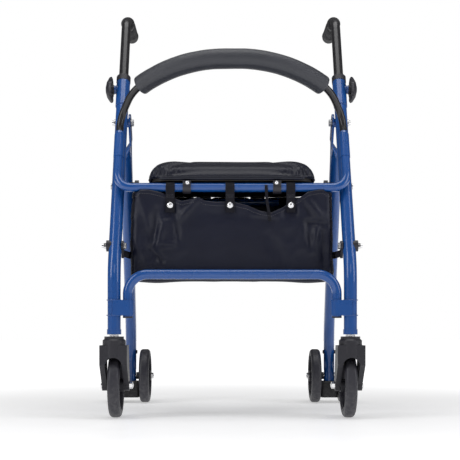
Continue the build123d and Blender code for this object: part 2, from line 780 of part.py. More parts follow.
def grip(side):
    """A grip that swells to the back, with a groove behind its flange."""
    x = side * front_leg_x
    radius = grip_diameter / 2
    bore = handle_diameter / 2
    plane = Plane(origin=(x, grip_start_y, grip_z), x_dir=(0, 1, 0), z_dir=(1, 0, 0))
    outline = Polyline(
        (0, bore),
        (0, radius - 1),
        (6, radius - 1),
        (10, radius - 3),
        (grip_length * 0.45, radius - 1.5),
        (grip_length - 22, radius - 2.5),
        (grip_length - 10, radius),
        (grip_length - 3, radius - 1),
        (grip_length, radius - 6),
        (grip_length, 0),
        (grip_length - 8, 0),
        (grip_length - 8, bore),
        close=True,
    )
    return revolve(plane * make_face(outline), axis=Axis((x, 0, grip_z), (0, 1, 0)))


def knob(side):
    """A dished clamp knob with scallops round its rim, and its stud."""
    radius = knob_diameter / 2
    start = boss_end + 0.5
    plane = Plane(origin=(side * start, knob_y, knob_z), x_dir=(side, 0, 0), z_dir=(0, -side, 0))
    outline = Polyline(
        (0, 0),
        (0, 10),
        (5, 10),
        (6, 14),
        (3.5, radius - 1.5),
        (5.5, radius),
        (9, radius - 1.5),
        (15, radius * 0.6),
        (17.5, radius * 0.25),
        (18, 0),
        close=True,
    )
    body = revolve(plane * make_face(outline), axis=Axis((0, knob_y, knob_z), (1, 0, 0)))
    for step in range(6):
        angle = 2 * pi * (step + 0.5) / 6
        y = knob_y + (radius + 4) * cos(angle)
        z = knob_z + (radius + 4) * sin(angle)
        body -= cross_rod(side, start - 2, start + 22, y, z, 15.0)
    tip = front_leg_x + handle_diameter / 2 + body_gap
    return body + cross_rod(side, tip, start + 4, knob_y, knob_z, knob_stud_diameter)


for name, side in SIDES.items():
    keep(f"handle_tube_{name}", tube(handle_points(side), handle_bend_radius, handle_diameter, handle_wall))
    keep(f"grip_{name}", grip(side))
    keep(f"knob_{name}", knob(side))

# ---- Seat: board, cushion, hinge clamps and rear pads ----
board_bottom = seat_tube_z + seat_tube_diameter / 2 + clamp_wall
seat_front = seat_tube_y - seat_overhang
seat_middle_y = seat_front + seat_depth / 2


def seat_plate(inset, low, high):
    width, depth = seat_width - 2 * inset, seat_depth - 2 * inset
    outline = Pos(0, seat_middle_y, low) * RectangleRounded(width, depth, seat_corner - inset)
    return extrude(outline, amount=high - low)


board = seat_plate(board_inset, board_bottom, board_bottom + board_thickness)
keep("seat_board", board)
cushion = seat_plate(0.0, board_bottom, board_bottom + cushion_height)
cushion = fillet(cushion.faces().sort_by(Axis.Z)[-1].edges(), 16.0)
keep("seat_cushion", cushion - board)


def seat_clamp(side):
    x = side * clamp_x
    low, high = x - clamp_width / 2, x + clamp_width / 2
    bore = seat_tube_diameter + 2 * running_clearance
    outer = seat_tube_diameter + 2 * clamp_wall
    body = rod((low, seat_tube_y, seat_tube_z), (high, seat_tube_y, seat_tube_z), outer)
    body += slab(low, high, seat_tube_y - 10, seat_tube_y + 24, seat_tube_z + 8, board_bottom)
    return body - rod((low, seat_tube_y, seat_tube_z), (high, seat_tube_y, seat_tube_z), bore)


keep("seat_clamps", *both(seat_clamp))


def rear_pad(side):
    x = side * pad_x
    top = seat_tube_z + seat_tube_diameter / 2 + body_gap
    return slab(x - 16, x + 16, rear_tube_y - 12, rear_tube_y + 12, top, board_bottom)


keep("seat_rear_pads", *both(rear_pad))

# ---- Folding side rails: two flat links on each side, with a lift grip ----
rail_middle_y = (rail_front_y + rail_rear_y) / 2


def link(x, start, end, hole_at):
    """A flat bar in the plane at x between two points, with a pivot hole at one of them."""
    length = hypot(end[0] - start[0], end[1] - start[1])
    turn = degrees(atan2(end[1] - start[1], end[0] - start[0]))
    plane = Plane(origin=(x - rail_thickness / 2, 0, 0), x_dir=(0, 1, 0), z_dir=(1, 0, 0))
    middle = ((start[0] + end[0]) / 2, (start[1] + end[1]) / 2)
    face = Pos(*middle) * Rot(0, 0, turn) * SlotCenterToCenter(length, rail_height)
    face -= Pos(*hole_at) * Circle(rail_pin_diameter / 2 + running_clearance)
    return extrude(plane * face, amount=rail_thickness)


rail_front = (rail_front_y, rail_front_z)
rail_middle = (rail_middle_y, rail_middle_z)
rail_rear = (rail_rear_y, rail_rear_z)
for name, side in SIDES.items():
    keep(f"front_rail_{name}", link(side * front_rail_x, rail_front, rail_middle, rail_front))
    rear_link = link(side * rear_rail_x, rail_middle, rail_rear, rail_rear)
    inner_face = rear_rail_x - rail_thickness / 2
    lift = cross_rod(side, inner_face - 8, inner_face, rail_middle_y, rail_middle_z, 24.0)
    lift += cross_rod(side, inner_face - 25, inner_face - 8, rail_middle_y, rail_middle_z, 11.0)
    keep(f"rear_rail_{name}", rear_link, lift)
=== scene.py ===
# %% [markdown]
# A folding walking frame on wheels
#
# This lesson dresses a finished CAD model of a walking frame: blue bent tubes, a padded seat with a
# cloth bag under it, a foam back rest and six rubber wheels. The CAD model gives every size and every
# moving body. Blender adds what metalwork drawings leave out: sewn covers, webbing, stitches,
# weld beads, and finishes that have grain, wear and dust.

# %% Load the frame
import json
import math

import bmesh
import bpy
import numpy as np
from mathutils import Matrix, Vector, noise
from mathutils.bvhtree import BVHTree

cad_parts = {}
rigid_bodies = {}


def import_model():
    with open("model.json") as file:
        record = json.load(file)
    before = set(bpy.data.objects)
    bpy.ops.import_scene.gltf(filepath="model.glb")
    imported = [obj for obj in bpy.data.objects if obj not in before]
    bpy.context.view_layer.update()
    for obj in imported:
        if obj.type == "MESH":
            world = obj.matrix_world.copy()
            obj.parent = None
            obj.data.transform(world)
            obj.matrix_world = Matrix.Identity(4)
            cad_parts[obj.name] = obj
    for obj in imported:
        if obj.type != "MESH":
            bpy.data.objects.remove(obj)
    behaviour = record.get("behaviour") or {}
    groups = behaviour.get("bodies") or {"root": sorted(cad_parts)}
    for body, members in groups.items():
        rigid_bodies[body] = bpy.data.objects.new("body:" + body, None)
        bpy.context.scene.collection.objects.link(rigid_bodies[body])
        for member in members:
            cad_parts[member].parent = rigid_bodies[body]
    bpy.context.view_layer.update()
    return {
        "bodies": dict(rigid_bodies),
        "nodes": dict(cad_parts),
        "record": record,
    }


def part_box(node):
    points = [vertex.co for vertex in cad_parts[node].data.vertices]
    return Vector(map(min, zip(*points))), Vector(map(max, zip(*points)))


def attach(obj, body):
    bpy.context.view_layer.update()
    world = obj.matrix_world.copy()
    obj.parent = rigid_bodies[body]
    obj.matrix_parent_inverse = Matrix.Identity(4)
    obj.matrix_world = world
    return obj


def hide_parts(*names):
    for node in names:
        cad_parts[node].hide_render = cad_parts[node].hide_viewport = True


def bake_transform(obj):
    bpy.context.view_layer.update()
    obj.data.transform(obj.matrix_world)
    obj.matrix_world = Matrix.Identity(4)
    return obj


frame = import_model()
cad = frame["nodes"]
record = frame["record"]

# %% [markdown]
# Camera first. The maker's view is from in front and low, almost level, as if the viewer knelt three
# steps away. A long lens keeps the upright tubes parallel. The lens looks level, and the film is
# shifted up a little instead of tilting the camera, so that the legs don't lean.

# %% Camera
camera_data = bpy.data.cameras.new("kneeling_view")
camera_data.lens = 82.8
camera_data.sensor_width = 36.0
camera_data.shift_x = 0.0213
camera_data.shift_y = 0.217
camera = bpy.data.objects.new("kneeling_view", camera_data)
camera.location = (-0.0235, -2.315, 0.173)
camera.rotation_euler = (math.radians(90), 0, 0)
bpy.context.scene.collection.objects.link(camera)
bpy.context.scene.camera = camera
print("camera", [round(c, 3) for c in camera.location], "lens", camera_data.lens)

# %% [markdown]
# The studio is a pale sweep with large soft lamps. The sweep also glows, a painted light that lights the frame from
# below, and its glow is turned down round the frame, a painted shade. Round tubes show their shape through long soft
# reflections, so each lamp is a wide panel. A white surround fills the shadows, as in a light tent.

# %% Floor, lamps and surround
def flat_panel(name, half_x, half_y, z):
    mesh = bpy.data.meshes.new(name)
    corners = [(-half_x, -half_y, z), (half_x, -half_y, z), (half_x, half_y, z), (-half_x, half_y, z)]
    mesh.from_pydata(corners, [], [(0, 1, 2, 3)])
    panel = bpy.data.objects.new(name, mesh)
    bpy.context.scene.collection.objects.link(panel)
    return panel


floor = flat_panel("studio_floor", 14.0, 14.0, -0.0005)


def soft_lamp(name, place, aim, width, height, power, colour):
    lamp_data = bpy.data.lights.new(name, "AREA")
    lamp_data.shape = "RECTANGLE"
    lamp_data.size = width
    lamp_data.size_y = height
    lamp_data.energy = power
    lamp_data.color = colour
    lamp = bpy.data.objects.new(name, lamp_data)
    lamp.location = place
    lamp.rotation_euler = (Vector(aim) - Vector(place)).to_track_quat("-Z", "Y").to_euler()
    bpy.context.scene.collection.objects.link(lamp)
    return lamp


soft_lamp("left_panel", (-2.2, -1.6, 1.7), (0, 0, 0.45), 1.0, 2.2, 34, (0.98, 0.98, 1.0))
soft_lamp("right_panel", (2.3, -1.2, 1.5), (0, 0, 0.45), 1.0, 2.2, 26, (0.96, 0.96, 1.0))
soft_lamp("top_panel", (0, -0.3, 2.6), (0, 0, 0.4), 2.0, 1.4, 30, (1.0, 1.0, 1.0))
soft_lamp("front_panel", (0.3, -3.6, 1.9), (0, 0, 0.45), 1.6, 1.0, 9, (1.0, 1.0, 1.0))

surround = bpy.data.worlds.new("white_surround")
surround.use_nodes = True
seen = surround.node_tree.nodes["Background"]
seen.inputs["Color"].default_value = (1.0, 1.0, 1.0, 1.0)
ray = surround.node_tree.nodes.new("ShaderNodeLightPath")
level = surround.node_tree.nodes.new("ShaderNodeMapRange")
level.inputs["To Min"].default_value = 0.12
level.inputs["To Max"].default_value = 1.0
surround.node_tree.links.new(ray.outputs["Is Camera Ray"], level.inputs["Value"])
surround.node_tree.links.new(level.outputs[0], seen.inputs["Strength"])
bpy.context.scene.world = surround
bpy.context.scene.view_settings.view_transform = "Standard"
print("four soft panels and a white surround")

# %% [markdown]
# Finishes are built from a few shared effects, each a shader node group with named sockets, so that
# one good idea is tuned many times. A small helper adds a node and wires it in one line: an input is
# given a value, or the socket that feeds it.

# %% Helpers that add and wire nodes
def add_node(tree, kind, inputs=None, **settings):
    made = tree.nodes.new(kind)
    for key, value in settings.items():
        setattr(made, key, value)
    for key, value in (inputs or {}).items():
        if isinstance(value, bpy.types.NodeSocket):
            tree.links.new(value, made.inputs[key])
        else:
            made.inputs[key].default_value = value
    return made


def wire(tree, source, target):
    tree.links.new(source, target)


def reckon(tree, operation, *values, **settings):
    """The result of a Math node."""
    return add_node(tree, "ShaderNodeMath", dict(enumerate(values)), operation=operation, **settings).outputs[0]


def mix_colours(tree, share, first, second):
    """A colour between two. The Mix node keeps its colour sockets at 6 and 7, and its colour result at 2."""
    return add_node(tree, "ShaderNodeMix", {0: share, 6: first, 7: second}, data_type="RGBA").outputs[2]


def object_place(tree):
    return add_node(tree, "ShaderNodeTexCoord").outputs["Object"]


def new_group(name, inputs, outputs, kind="ShaderNodeTree"):
    group = bpy.data.node_groups.new(name, kind)
    for label, socket_kind, value in inputs:
        socket = group.interface.new_socket(label, in_out="INPUT", socket_type=socket_kind)
        if value is not None:
            socket.default_value = value
    for label, socket_kind in outputs:
        group.interface.new_socket(label, in_out="OUTPUT", socket_type=socket_kind)
    return group, group.nodes.new("NodeGroupInput"), group.nodes.new("NodeGroupOutput")


NUMBER = "NodeSocketFloat"
WHOLE = "NodeSocketInt"
VECTOR = "NodeSocketVector"
GEOMETRY = "NodeSocketGeometry"
MATERIAL = "NodeSocketMaterial"

# %% [markdown]
# Edge wear: paint and plastic rub bright where the surface turns sharply. The Bevel node rounds the
# normal near an edge, so where it differs from the true normal there is an edge. Noise breaks it up.

# %% Edge wear group
wear, wear_in, wear_out = new_group(
    "edge_wear",
    [("Reach", NUMBER, 0.0012), ("Amount", NUMBER, 0.5), ("Patch Size", NUMBER, 90.0)],
    [("Mask", NUMBER)],
)
rounded = add_node(wear, "ShaderNodeBevel", {"Radius": wear_in.outputs["Reach"]}, samples=4)
true_normal = add_node(wear, "ShaderNodeNewGeometry").outputs["Normal"]
turn = add_node(wear, "ShaderNodeVectorMath", {0: rounded.outputs[0], 1: true_normal}, operation="DOT_PRODUCT")
bend = reckon(wear, "SUBTRACT", 1.0, turn.outputs["Value"])
ramp = add_node(wear, "ShaderNodeMapRange", {"Value": bend, "From Min": 0.02, "From Max": 0.35})
patches = add_node(
    wear, "ShaderNodeTexNoise", {"Vector": object_place(wear), "Scale": wear_in.outputs["Patch Size"], "Detail": 4.0}
)
broken = reckon(wear, "MULTIPLY", ramp.outputs[0], patches.outputs[0])
wire(wear, reckon(wear, "MULTIPLY", broken, wear_in.outputs["Amount"], use_clamp=True), wear_out.inputs["Mask"])
print("group", wear.name)

# %% [markdown]
# Grain: every real surface has two scales of unevenness. The fine one is the orange peel of powder
# coat or the etched skin of moulded plastic. The broad one is the cloudiness of handling. The group
# gives the fine height for a Bump node and the broad cloud for colour and roughness.

# %% Grain group
grain, grain_in, grain_out = new_group(
    "surface_grain",
    [("Fine Size", NUMBER, 900.0), ("Cloud Size", NUMBER, 14.0), ("Sharpness", NUMBER, 0.5)],
    [("Height", NUMBER), ("Cloud", NUMBER)],
)
place = object_place(grain)
fine = add_node(grain, "ShaderNodeTexNoise", {
    "Vector": place, "Scale": grain_in.outputs["Fine Size"], "Detail": 3.0, "Roughness": grain_in.outputs["Sharpness"],
})
clouds = add_node(
    grain, "ShaderNodeTexNoise", {"Vector": place, "Scale": grain_in.outputs["Cloud Size"], "Detail": 5.0}
)
wire(grain, fine.outputs[0], grain_out.inputs["Height"])
wire(grain, clouds.outputs[0], grain_out.inputs["Cloud"])
print("group", grain.name)

# %% [markdown]
# Dust settles on what faces up and on what is near the floor. The group mixes both with noise, and
# each finish says how dusty it is.

# %% Dust group
dust, dust_in, dust_out = new_group(
    "settled_dust",
    [("Amount", NUMBER, 0.2), ("Floor Reach", NUMBER, 0.09)],
    [("Mask", NUMBER)],
)
place = object_place(dust)
normal = add_node(dust, "ShaderNodeNewGeometry").outputs["Normal"]
facing = add_node(dust, "ShaderNodeSeparateXYZ", {0: normal}).outputs["Z"]
height = add_node(dust, "ShaderNodeSeparateXYZ", {0: place}).outputs["Z"]
upward = add_node(dust, "ShaderNodeMapRange", {"Value": facing, "From Min": 0.3})
near_floor = add_node(dust, "ShaderNodeMapRange", {
    "Value": height, "From Max": dust_in.outputs["Floor Reach"], "To Min": 1.0, "To Max": 0.0,
})
either = reckon(dust, "MAXIMUM", upward.outputs[0], near_floor.outputs[0])
specks = add_node(dust, "ShaderNodeTexNoise", {"Vector": place, "Scale": 160.0, "Detail": 6.0})
spread = add_node(dust, "ShaderNodeMapRange", {"Value": specks.outputs[0], "From Min": 0.42, "From Max": 0.7})
settled = reckon(dust, "MULTIPLY", either, spread.outputs[0])
wire(dust, reckon(dust, "MULTIPLY", settled, dust_in.outputs["Amount"], use_clamp=True), dust_out.inputs["Mask"])
print("group", dust.name)

# %% [markdown]
# Weave: cloth and webbing are two sets of threads, over and under. Two sine waves at right angles,
# multiplied, give that relief. The waves read the piece's own UV map, which each sewn piece lays out
# in metres, so the threads turn with the cloth and keep their real size.

# %% Weave group
weave, weave_in, weave_out = new_group(
    "thread_weave",
    [("Warp Pitch", NUMBER, 0.0009), ("Weft Pitch", NUMBER, 0.0009)],
    [("Height", NUMBER)],
)
laid_out = add_node(weave, "ShaderNodeTexCoord").outputs["UV"]
across = add_node(weave, "ShaderNodeSeparateXYZ", {0: laid_out})
waves = []
for axis, label in (("X", "Warp Pitch"), ("Y", "Weft Pitch")):
    cycles = reckon(weave, "DIVIDE", across.outputs[axis], weave_in.outputs[label])
    waves.append(reckon(weave, "SINE", reckon(weave, "MULTIPLY", cycles, math.pi)))
crossing = reckon(weave, "MULTIPLY", *waves)
wire(weave, reckon(weave, "MULTIPLY_ADD", crossing, 0.5, 0.5), weave_out.inputs["Height"])
print("group", weave.name)

# %% [markdown]
# One recipe serves most finishes: a base colour that the cloud varies, bright wear on the edges, a
# film of dust, and a bump from the grain or the weave. What makes paint differ from rubber is in the
# numbers: roughness, coat, metal, and how strong each effect is.

# %% The finish recipe
DUST_COLOUR = (0.32, 0.31, 0.30, 1)


def finish_material(
    name, colour, second, rough, rough_spread=0.1, metal=0.0, coat=0.0, coat_rough=0.1,
    sheen=0.0, fine=900.0, cloud=14.0, bump=0.1, depth=0.0002, worn=(0.3, 0.3, 0.3), wear_amount=0.3,
    dusty=0.1, threads=None, pattern=None, specular=0.5,
):
    material = bpy.data.materials.new(name)
    material.use_nodes = True
    tree = material.node_tree
    shader = tree.nodes["Principled BSDF"]
    for label, value in (
        ("Metallic", metal), ("Coat Weight", coat), ("Coat Roughness", coat_rough), ("Sheen Weight", sheen),
        ("Sheen Roughness", 0.4), ("Specular IOR Level", specular),
    ):
        shader.inputs[label].default_value = value
    skin = add_node(tree, "ShaderNodeGroup", {"Fine Size": fine, "Cloud Size": cloud}, node_tree=grain)
    edges = add_node(tree, "ShaderNodeGroup", {"Amount": wear_amount}, node_tree=wear)
    film = add_node(tree, "ShaderNodeGroup", {"Amount": dusty}, node_tree=dust)
    body = mix_colours(tree, skin.outputs["Cloud"], (*colour, 1), (*second, 1))
    rubbed = mix_colours(tree, edges.outputs["Mask"], body, (*worn, 1))
    wire(tree, mix_colours(tree, film.outputs["Mask"], rubbed, DUST_COLOUR), shader.inputs["Base Color"])
    smoothest, roughest = max(0.0, rough - rough_spread), min(1.0, rough + rough_spread)
    roughness = add_node(
        tree, "ShaderNodeMapRange", {"Value": skin.outputs["Cloud"], "To Min": smoothest, "To Max": roughest}
    )
    wire(tree, roughness.outputs[0], shader.inputs["Roughness"])
    relief = add_node(tree, "ShaderNodeBump", {"Strength": bump, "Distance": depth})
    height = skin.outputs["Height"]
    if threads:
        cloth = add_node(tree, "ShaderNodeGroup", {"Warp Pitch": threads[0], "Weft Pitch": threads[1]}, node_tree=weave)
        height = reckon(tree, "MULTIPLY_ADD", height, 0.25, cloth.outputs["Height"])
    if pattern:
        height = pattern(tree, height)
    wire(tree, height, relief.inputs["Height"])
    wire(tree, relief.outputs["Normal"], shader.inputs["Normal"])
    return material


print("finish recipe ready")

# %% [markdown]
# Two skins need cells instead of plain noise. Grained vinyl is a pattern of small pillows with creases
# between them, and closed-cell foam shows cut bubbles. A Voronoi texture gives both.

# %% Pillows for vinyl and bubbles for foam
def cells(size, strength, smooth):
    def pattern(tree, height):
        look = "SMOOTH_F1" if smooth else "F1"
        pillows = add_node(tree, "ShaderNodeTexVoronoi", {"Vector": object_place(tree), "Scale": size}, feature=look)
        return reckon(tree, "MULTIPLY_ADD", pillows.outputs["Distance"], strength, height)

    return pattern


def brushed_rings(tree, height):
    """Fine lines that a lathe leaves on turned steel."""
    at = {"Vector": object_place(tree), "Scale": 700.0}
    lines = add_node(tree, "ShaderNodeTexWave", at, wave_type="BANDS", bands_direction="X")
    return reckon(tree, "MULTIPLY_ADD", lines.outputs["Color"], 0.4, height)


# %% [markdown]
# The finishes of this frame, one for each slot that the maker lists. The blue is a glossy powder coat:
# a saturated base under a clear coat, with a faint orange peel. The black tubes of the back rest and
# handles are satin. Small hardware is zinc plated, and the snaps are nickel.

# %% Finishes
finishes = {
    "blue_paint": finish_material(
        "blue_powder_coat", (0.004, 0.055, 0.225), (0.007, 0.068, 0.270), 0.28, 0.05,
        coat=0.55, coat_rough=0.06, specular=0.35, fine=420.0, bump=0.05,
        worn=(0.10, 0.16, 0.34), wear_amount=0.35, dusty=0.03,
    ),
    "black_tube": finish_material(
        "black_satin_coat", (0.007, 0.007, 0.009), (0.012, 0.011, 0.013), 0.34, 0.08,
        coat=0.25, coat_rough=0.15, specular=0.35, fine=500.0, bump=0.06,
        worn=(0.16, 0.15, 0.15), wear_amount=0.35, dusty=0.03,
    ),
    "chrome": finish_material(
        "nickel_plate", (0.72, 0.72, 0.73), (0.80, 0.80, 0.81), 0.14, 0.05, metal=1.0,
        fine=300.0, bump=0.02, worn=(0.55, 0.54, 0.52), wear_amount=0.2, dusty=0.02,
    ),
    "steel": finish_material(
        "zinc_plate", (0.50, 0.51, 0.53), (0.62, 0.62, 0.63), 0.30, 0.10, metal=1.0,
        fine=700.0, bump=0.10, worn=(0.35, 0.34, 0.32), wear_amount=0.3, dusty=0.05, pattern=brushed_rings,
    ),
    "black_plastic": finish_material(
        "moulded_black_plastic", (0.013, 0.013, 0.018), (0.021, 0.020, 0.027), 0.42, 0.08, specular=0.4,
        fine=1100.0, bump=0.22, depth=0.0003, worn=(0.10, 0.10, 0.11), wear_amount=0.35, dusty=0.05,
    ),
    "tyre": finish_material(
        "solid_tyre_rubber", (0.018, 0.018, 0.025), (0.028, 0.027, 0.036), 0.44, 0.10, specular=0.45,
        fine=800.0, bump=0.25, depth=0.0003, worn=(0.075, 0.072, 0.075), wear_amount=0.3, dusty=0.16,
    ),
    "rubber": finish_material(
        "soft_black_rubber", (0.012, 0.012, 0.014), (0.022, 0.021, 0.024), 0.62, 0.10,
        fine=900.0, bump=0.30, depth=0.0003, worn=(0.07, 0.07, 0.07), wear_amount=0.25, dusty=0.14,
    ),
    "foam": finish_material(
        "closed_cell_foam", (0.016, 0.018, 0.025), (0.024, 0.026, 0.035), 0.50, 0.06, specular=0.6,
        fine=1600.0, cloud=30.0, bump=0.55, depth=0.0006, worn=(0.06, 0.06, 0.07), wear_amount=0.1, dusty=0.04,
        pattern=cells(750.0, -0.8, False),
    ),
    "vinyl": finish_material(
        "grained_vinyl", (0.004, 0.005, 0.012), (0.007, 0.008, 0.018), 0.38, 0.07,
        coat=0.10, coat_rough=0.3, specular=0.28, fine=1300.0, cloud=20.0, bump=0.35,
        depth=0.0004, worn=(0.05, 0.05, 0.06), wear_amount=0.15, dusty=0.05,
        pattern=cells(520.0, 1.2, True),
    ),
    "wood": finish_material(
        "black_stained_plywood", (0.012, 0.011, 0.010), (0.026, 0.022, 0.018), 0.60, 0.12, specular=0.3,
        fine=260.0, bump=0.35, depth=0.0004, worn=(0.26, 0.19, 0.12), wear_amount=0.5, dusty=0.08,
    ),
    "cloth": finish_material(
        "coated_nylon", (0.004, 0.005, 0.014), (0.007, 0.0085, 0.021), 0.37, 0.07, specular=0.24,
        fine=420.0, cloud=22.0, bump=0.30, depth=0.0003, worn=(0.05, 0.05, 0.06), wear_amount=0.1, dusty=0.04,
        threads=(0.0007, 0.0007),
    ),
    "webbing": finish_material(
        "black_webbing", (0.0025, 0.0025, 0.006), (0.005, 0.005, 0.010), 0.60, 0.08, sheen=0.03, specular=0.18,
        fine=700.0, cloud=60.0, bump=0.8, depth=0.0006, worn=(0.05, 0.05, 0.055), wear_amount=0.2, dusty=0.06,
        threads=(0.0018, 0.0011),
    ),
}
thread_finish = finish_material(
    "grey_thread", (0.055, 0.055, 0.065), (0.080, 0.080, 0.092), 0.60, 0.10, sheen=0.3,
    fine=2200.0, bump=0.5, wear_amount=0.0, dusty=0.05,
)
floor_finish = finish_material(
    "studio_white", (0.90, 0.90, 0.90), (0.92, 0.92, 0.92), 0.30, 0.03, wear_amount=0.0, dusty=0.0,
    fine=60.0, bump=0.01,
)
floor_tree = floor_finish.node_tree
floor_shader = floor_tree.nodes["Principled BSDF"]
# Painted light: the floor glows, at full strength far out so that it meets the white surround, and dimmer within reach
# of the frame, a painted shade round it. The glow also lights the frame from below.
from_middle = add_node(floor_tree, "ShaderNodeVectorMath", {0: object_place(floor_tree)}, operation="LENGTH")
far_out = from_middle.outputs["Value"]
reaches = {"Value": far_out, "From Min": 0.35, "From Max": 1.9, "To Min": 0.38, "To Max": 1.0}
painted_floor_glow = add_node(floor_tree, "ShaderNodeMapRange", reaches, interpolation_type="SMOOTHSTEP")
wire(floor_tree, painted_floor_glow.outputs[0], floor_shader.inputs["Emission Strength"])
floor_shader.inputs["Emission Color"].default_value = (1.0, 1.0, 1.0, 1.0)
floor_shader.inputs["Roughness"].default_value = 0.15
floor.data.materials.append(floor_finish)
print(len(finishes), "finishes:", ", ".join(finishes))

# %% [markdown]
# The CAD parts that already have their true shape only need a finish. The record says which slot each
# part belongs to, so one loop dresses the whole frame.

# %% Dress the CAD parts
slot_of = {part["node"]: part["material_slot"] for part in record["subparts"]}
for node, part in cad.items():
    part.data.materials.clear()
    part.data.materials.append(finishes[slot_of[node]])
print("dressed", len(cad), "parts")

# %% [markdown]
# Sewn and moulded pieces are made as plain meshes. These helpers link a mesh, lay its UV map in
# metres, freeze modifiers into the mesh, and sweep a round section along a path.

# %% Mesh helpers
def link_piece(name, vertices, faces, finish, uv=None):
    mesh = bpy.data.meshes.new(name)
    mesh.from_pydata([tuple(map(float, v)) for v in vertices], [], faces)
    piece = bpy.data.objects.new(name, mesh)
    bpy.context.scene.collection.objects.link(piece)
    if uv is not None:
        layer = mesh.uv_layers.new(name="cloth_metres")
        for loop in mesh.loops:
            layer.data[loop.index].uv = uv[loop.vertex_index]
    if finish:
        mesh.materials.append(finish)
    mesh.polygons.foreach_set("use_smooth", [True] * len(mesh.polygons))
    return piece


def face_outward(piece):
    work = bmesh.new()
    work.from_mesh(piece.data)
    bmesh.ops.recalc_face_normals(work, faces=work.faces[:])
    work.to_mesh(piece.data)
    work.free()


def freeze(piece):
    """Turns a piece with modifiers into a plain mesh."""
    bpy.context.view_layer.update()
    graph = bpy.context.evaluated_depsgraph_get()
    finished = piece.evaluated_get(graph)
    mesh = bpy.data.meshes.new_from_object(finished, preserve_all_data_layers=True, depsgraph=graph)
    piece.modifiers.clear()
    piece.data = mesh
    mesh.polygons.foreach_set("use_smooth", [True] * len(mesh.polygons))
    return piece


def points_of(mesh):
    flat = np.zeros(len(mesh.vertices) * 3, np.float32)
    mesh.vertices.foreach_get("co", flat)
    return flat.reshape(-1, 3).astype(float)


def put_points(mesh, points):
    mesh.vertices.foreach_set("co", points.astype(np.float32).ravel())
    mesh.update()


def smooth_step(low, high, value):
    share = np.clip((value - low) / (high - low), 0, 1)
    return share * share * (3 - 2 * share)


def band_faces(rows, around, closed=False):
    """Faces between rows of points that each go once round. A closed band joins its last row to its first."""
    faces = []
    for i in range(rows if closed else rows - 1):
        this, following = i * around, (i + 1) % rows * around
        for k in range(around):
            after = (k + 1) % around
            faces.append((this + k, this + after, following + after, following + k))
    return faces


def end_faces(rows, around):
    last = (rows - 1) * around
    return [tuple(range(around)), tuple(reversed(range(last, last + around)))]


def rounded_rectangle(half_x, half_y, corner, middle_y, corner_steps):
    """Going round once, with the first point repeated at the end."""
    points = []
    for quarter, (sx, sy) in enumerate(((1, 1), (-1, 1), (-1, -1), (1, -1))):
        for k in range(corner_steps + 1):
            angle = math.pi / 2 * (quarter + k / corner_steps)
            x = sx * (half_x - corner) + corner * math.cos(angle)
            y = sy * (half_y - corner) + corner * math.sin(angle)
            points.append((x, middle_y + y))
    return points + points[:1]


def swept(path, radii, sides):
    """Rings round a path, closed at both ends: vertices, faces and UV."""
    path = [Vector(p) for p in path]
    vertices, uv = [], []
    run = 0.0
    guide = Vector((0, 0, 1))
    for i, point in enumerate(path):
        ahead = path[min(i + 1, len(path) - 1)] - path[max(i - 1, 0)]
        ahead.normalize()
        side = ahead.cross(guide).normalized()
        up = side.cross(ahead).normalized()
        if i:
            run += (point - path[i - 1]).length
        for k in range(sides):
            angle = 2 * math.pi * k / sides
            offset = side * math.cos(angle) * radii[i] + up * math.sin(angle) * radii[i]
            vertices.append(point + offset)
            uv.append((run, k / sides * 2 * math.pi * max(radii)))
    return vertices, band_faces(len(path), sides) + end_faces(len(path), sides), uv


def rounded_run(points, radius, step=0.004):
    """Straight runs with their corners rounded, as a tube bender leaves them."""
    points = [Vector(p) for p in points]
    made = [points[0]]
    for before, corner, after in zip(points, points[1:], points[2:]):
        back, ahead = (before - corner).normalized(), (after - corner).normalized()
        half = back.angle(ahead) / 2
        reach = radius / math.tan(half)
        bisector = (back + ahead).normalized()
        centre = corner + bisector * (radius / math.sin(half))
        start, end = corner + back * reach - centre, corner + ahead * reach - centre
        sweep = start.angle(end)
        count = max(2, int(radius * sweep / step))
        for k in range(count + 1):
            made.append(centre + start.slerp(end, k / count, start) * radius)
    made.append(points[-1])
    return made


def even_steps(points, step):
    """The same path with points an even distance apart."""
    points = np.array([tuple(p) for p in points], float)
    runs = np.concatenate([[0], np.cumsum(np.linalg.norm(np.diff(points, axis=0), axis=1))])
    places = np.linspace(0, runs[-1], max(2, int(runs[-1] / step) + 1))
    return np.stack([np.interp(places, runs, points[:, k]) for k in range(3)], axis=1)


print("mesh helpers ready")

# %% [markdown]
# Stitches and weld beads are the same idea: small lumps at an even spacing along a line. A Geometry
# Nodes tree does it once. The line becomes a curve, points are set along it, a small ball is placed
# on each, stretched along the line, and the sizes vary a little from a fixed seed.

# %% Geometry Nodes: lumps along a line
def finish_tree(tree, instances, group_in, group_out):
    """Makes the instances real and smooth, gives them their finish, and sends them out."""
    real = add_node(tree, "GeometryNodeRealizeInstances", {0: instances})
    smooth = add_node(tree, "GeometryNodeSetShadeSmooth", {0: real.outputs[0]})
    inputs = {"Geometry": smooth.outputs[0], "Material": group_in.outputs["Finish"]}
    wire(tree, add_node(tree, "GeometryNodeSetMaterial", inputs).outputs[0], group_out.inputs[0])


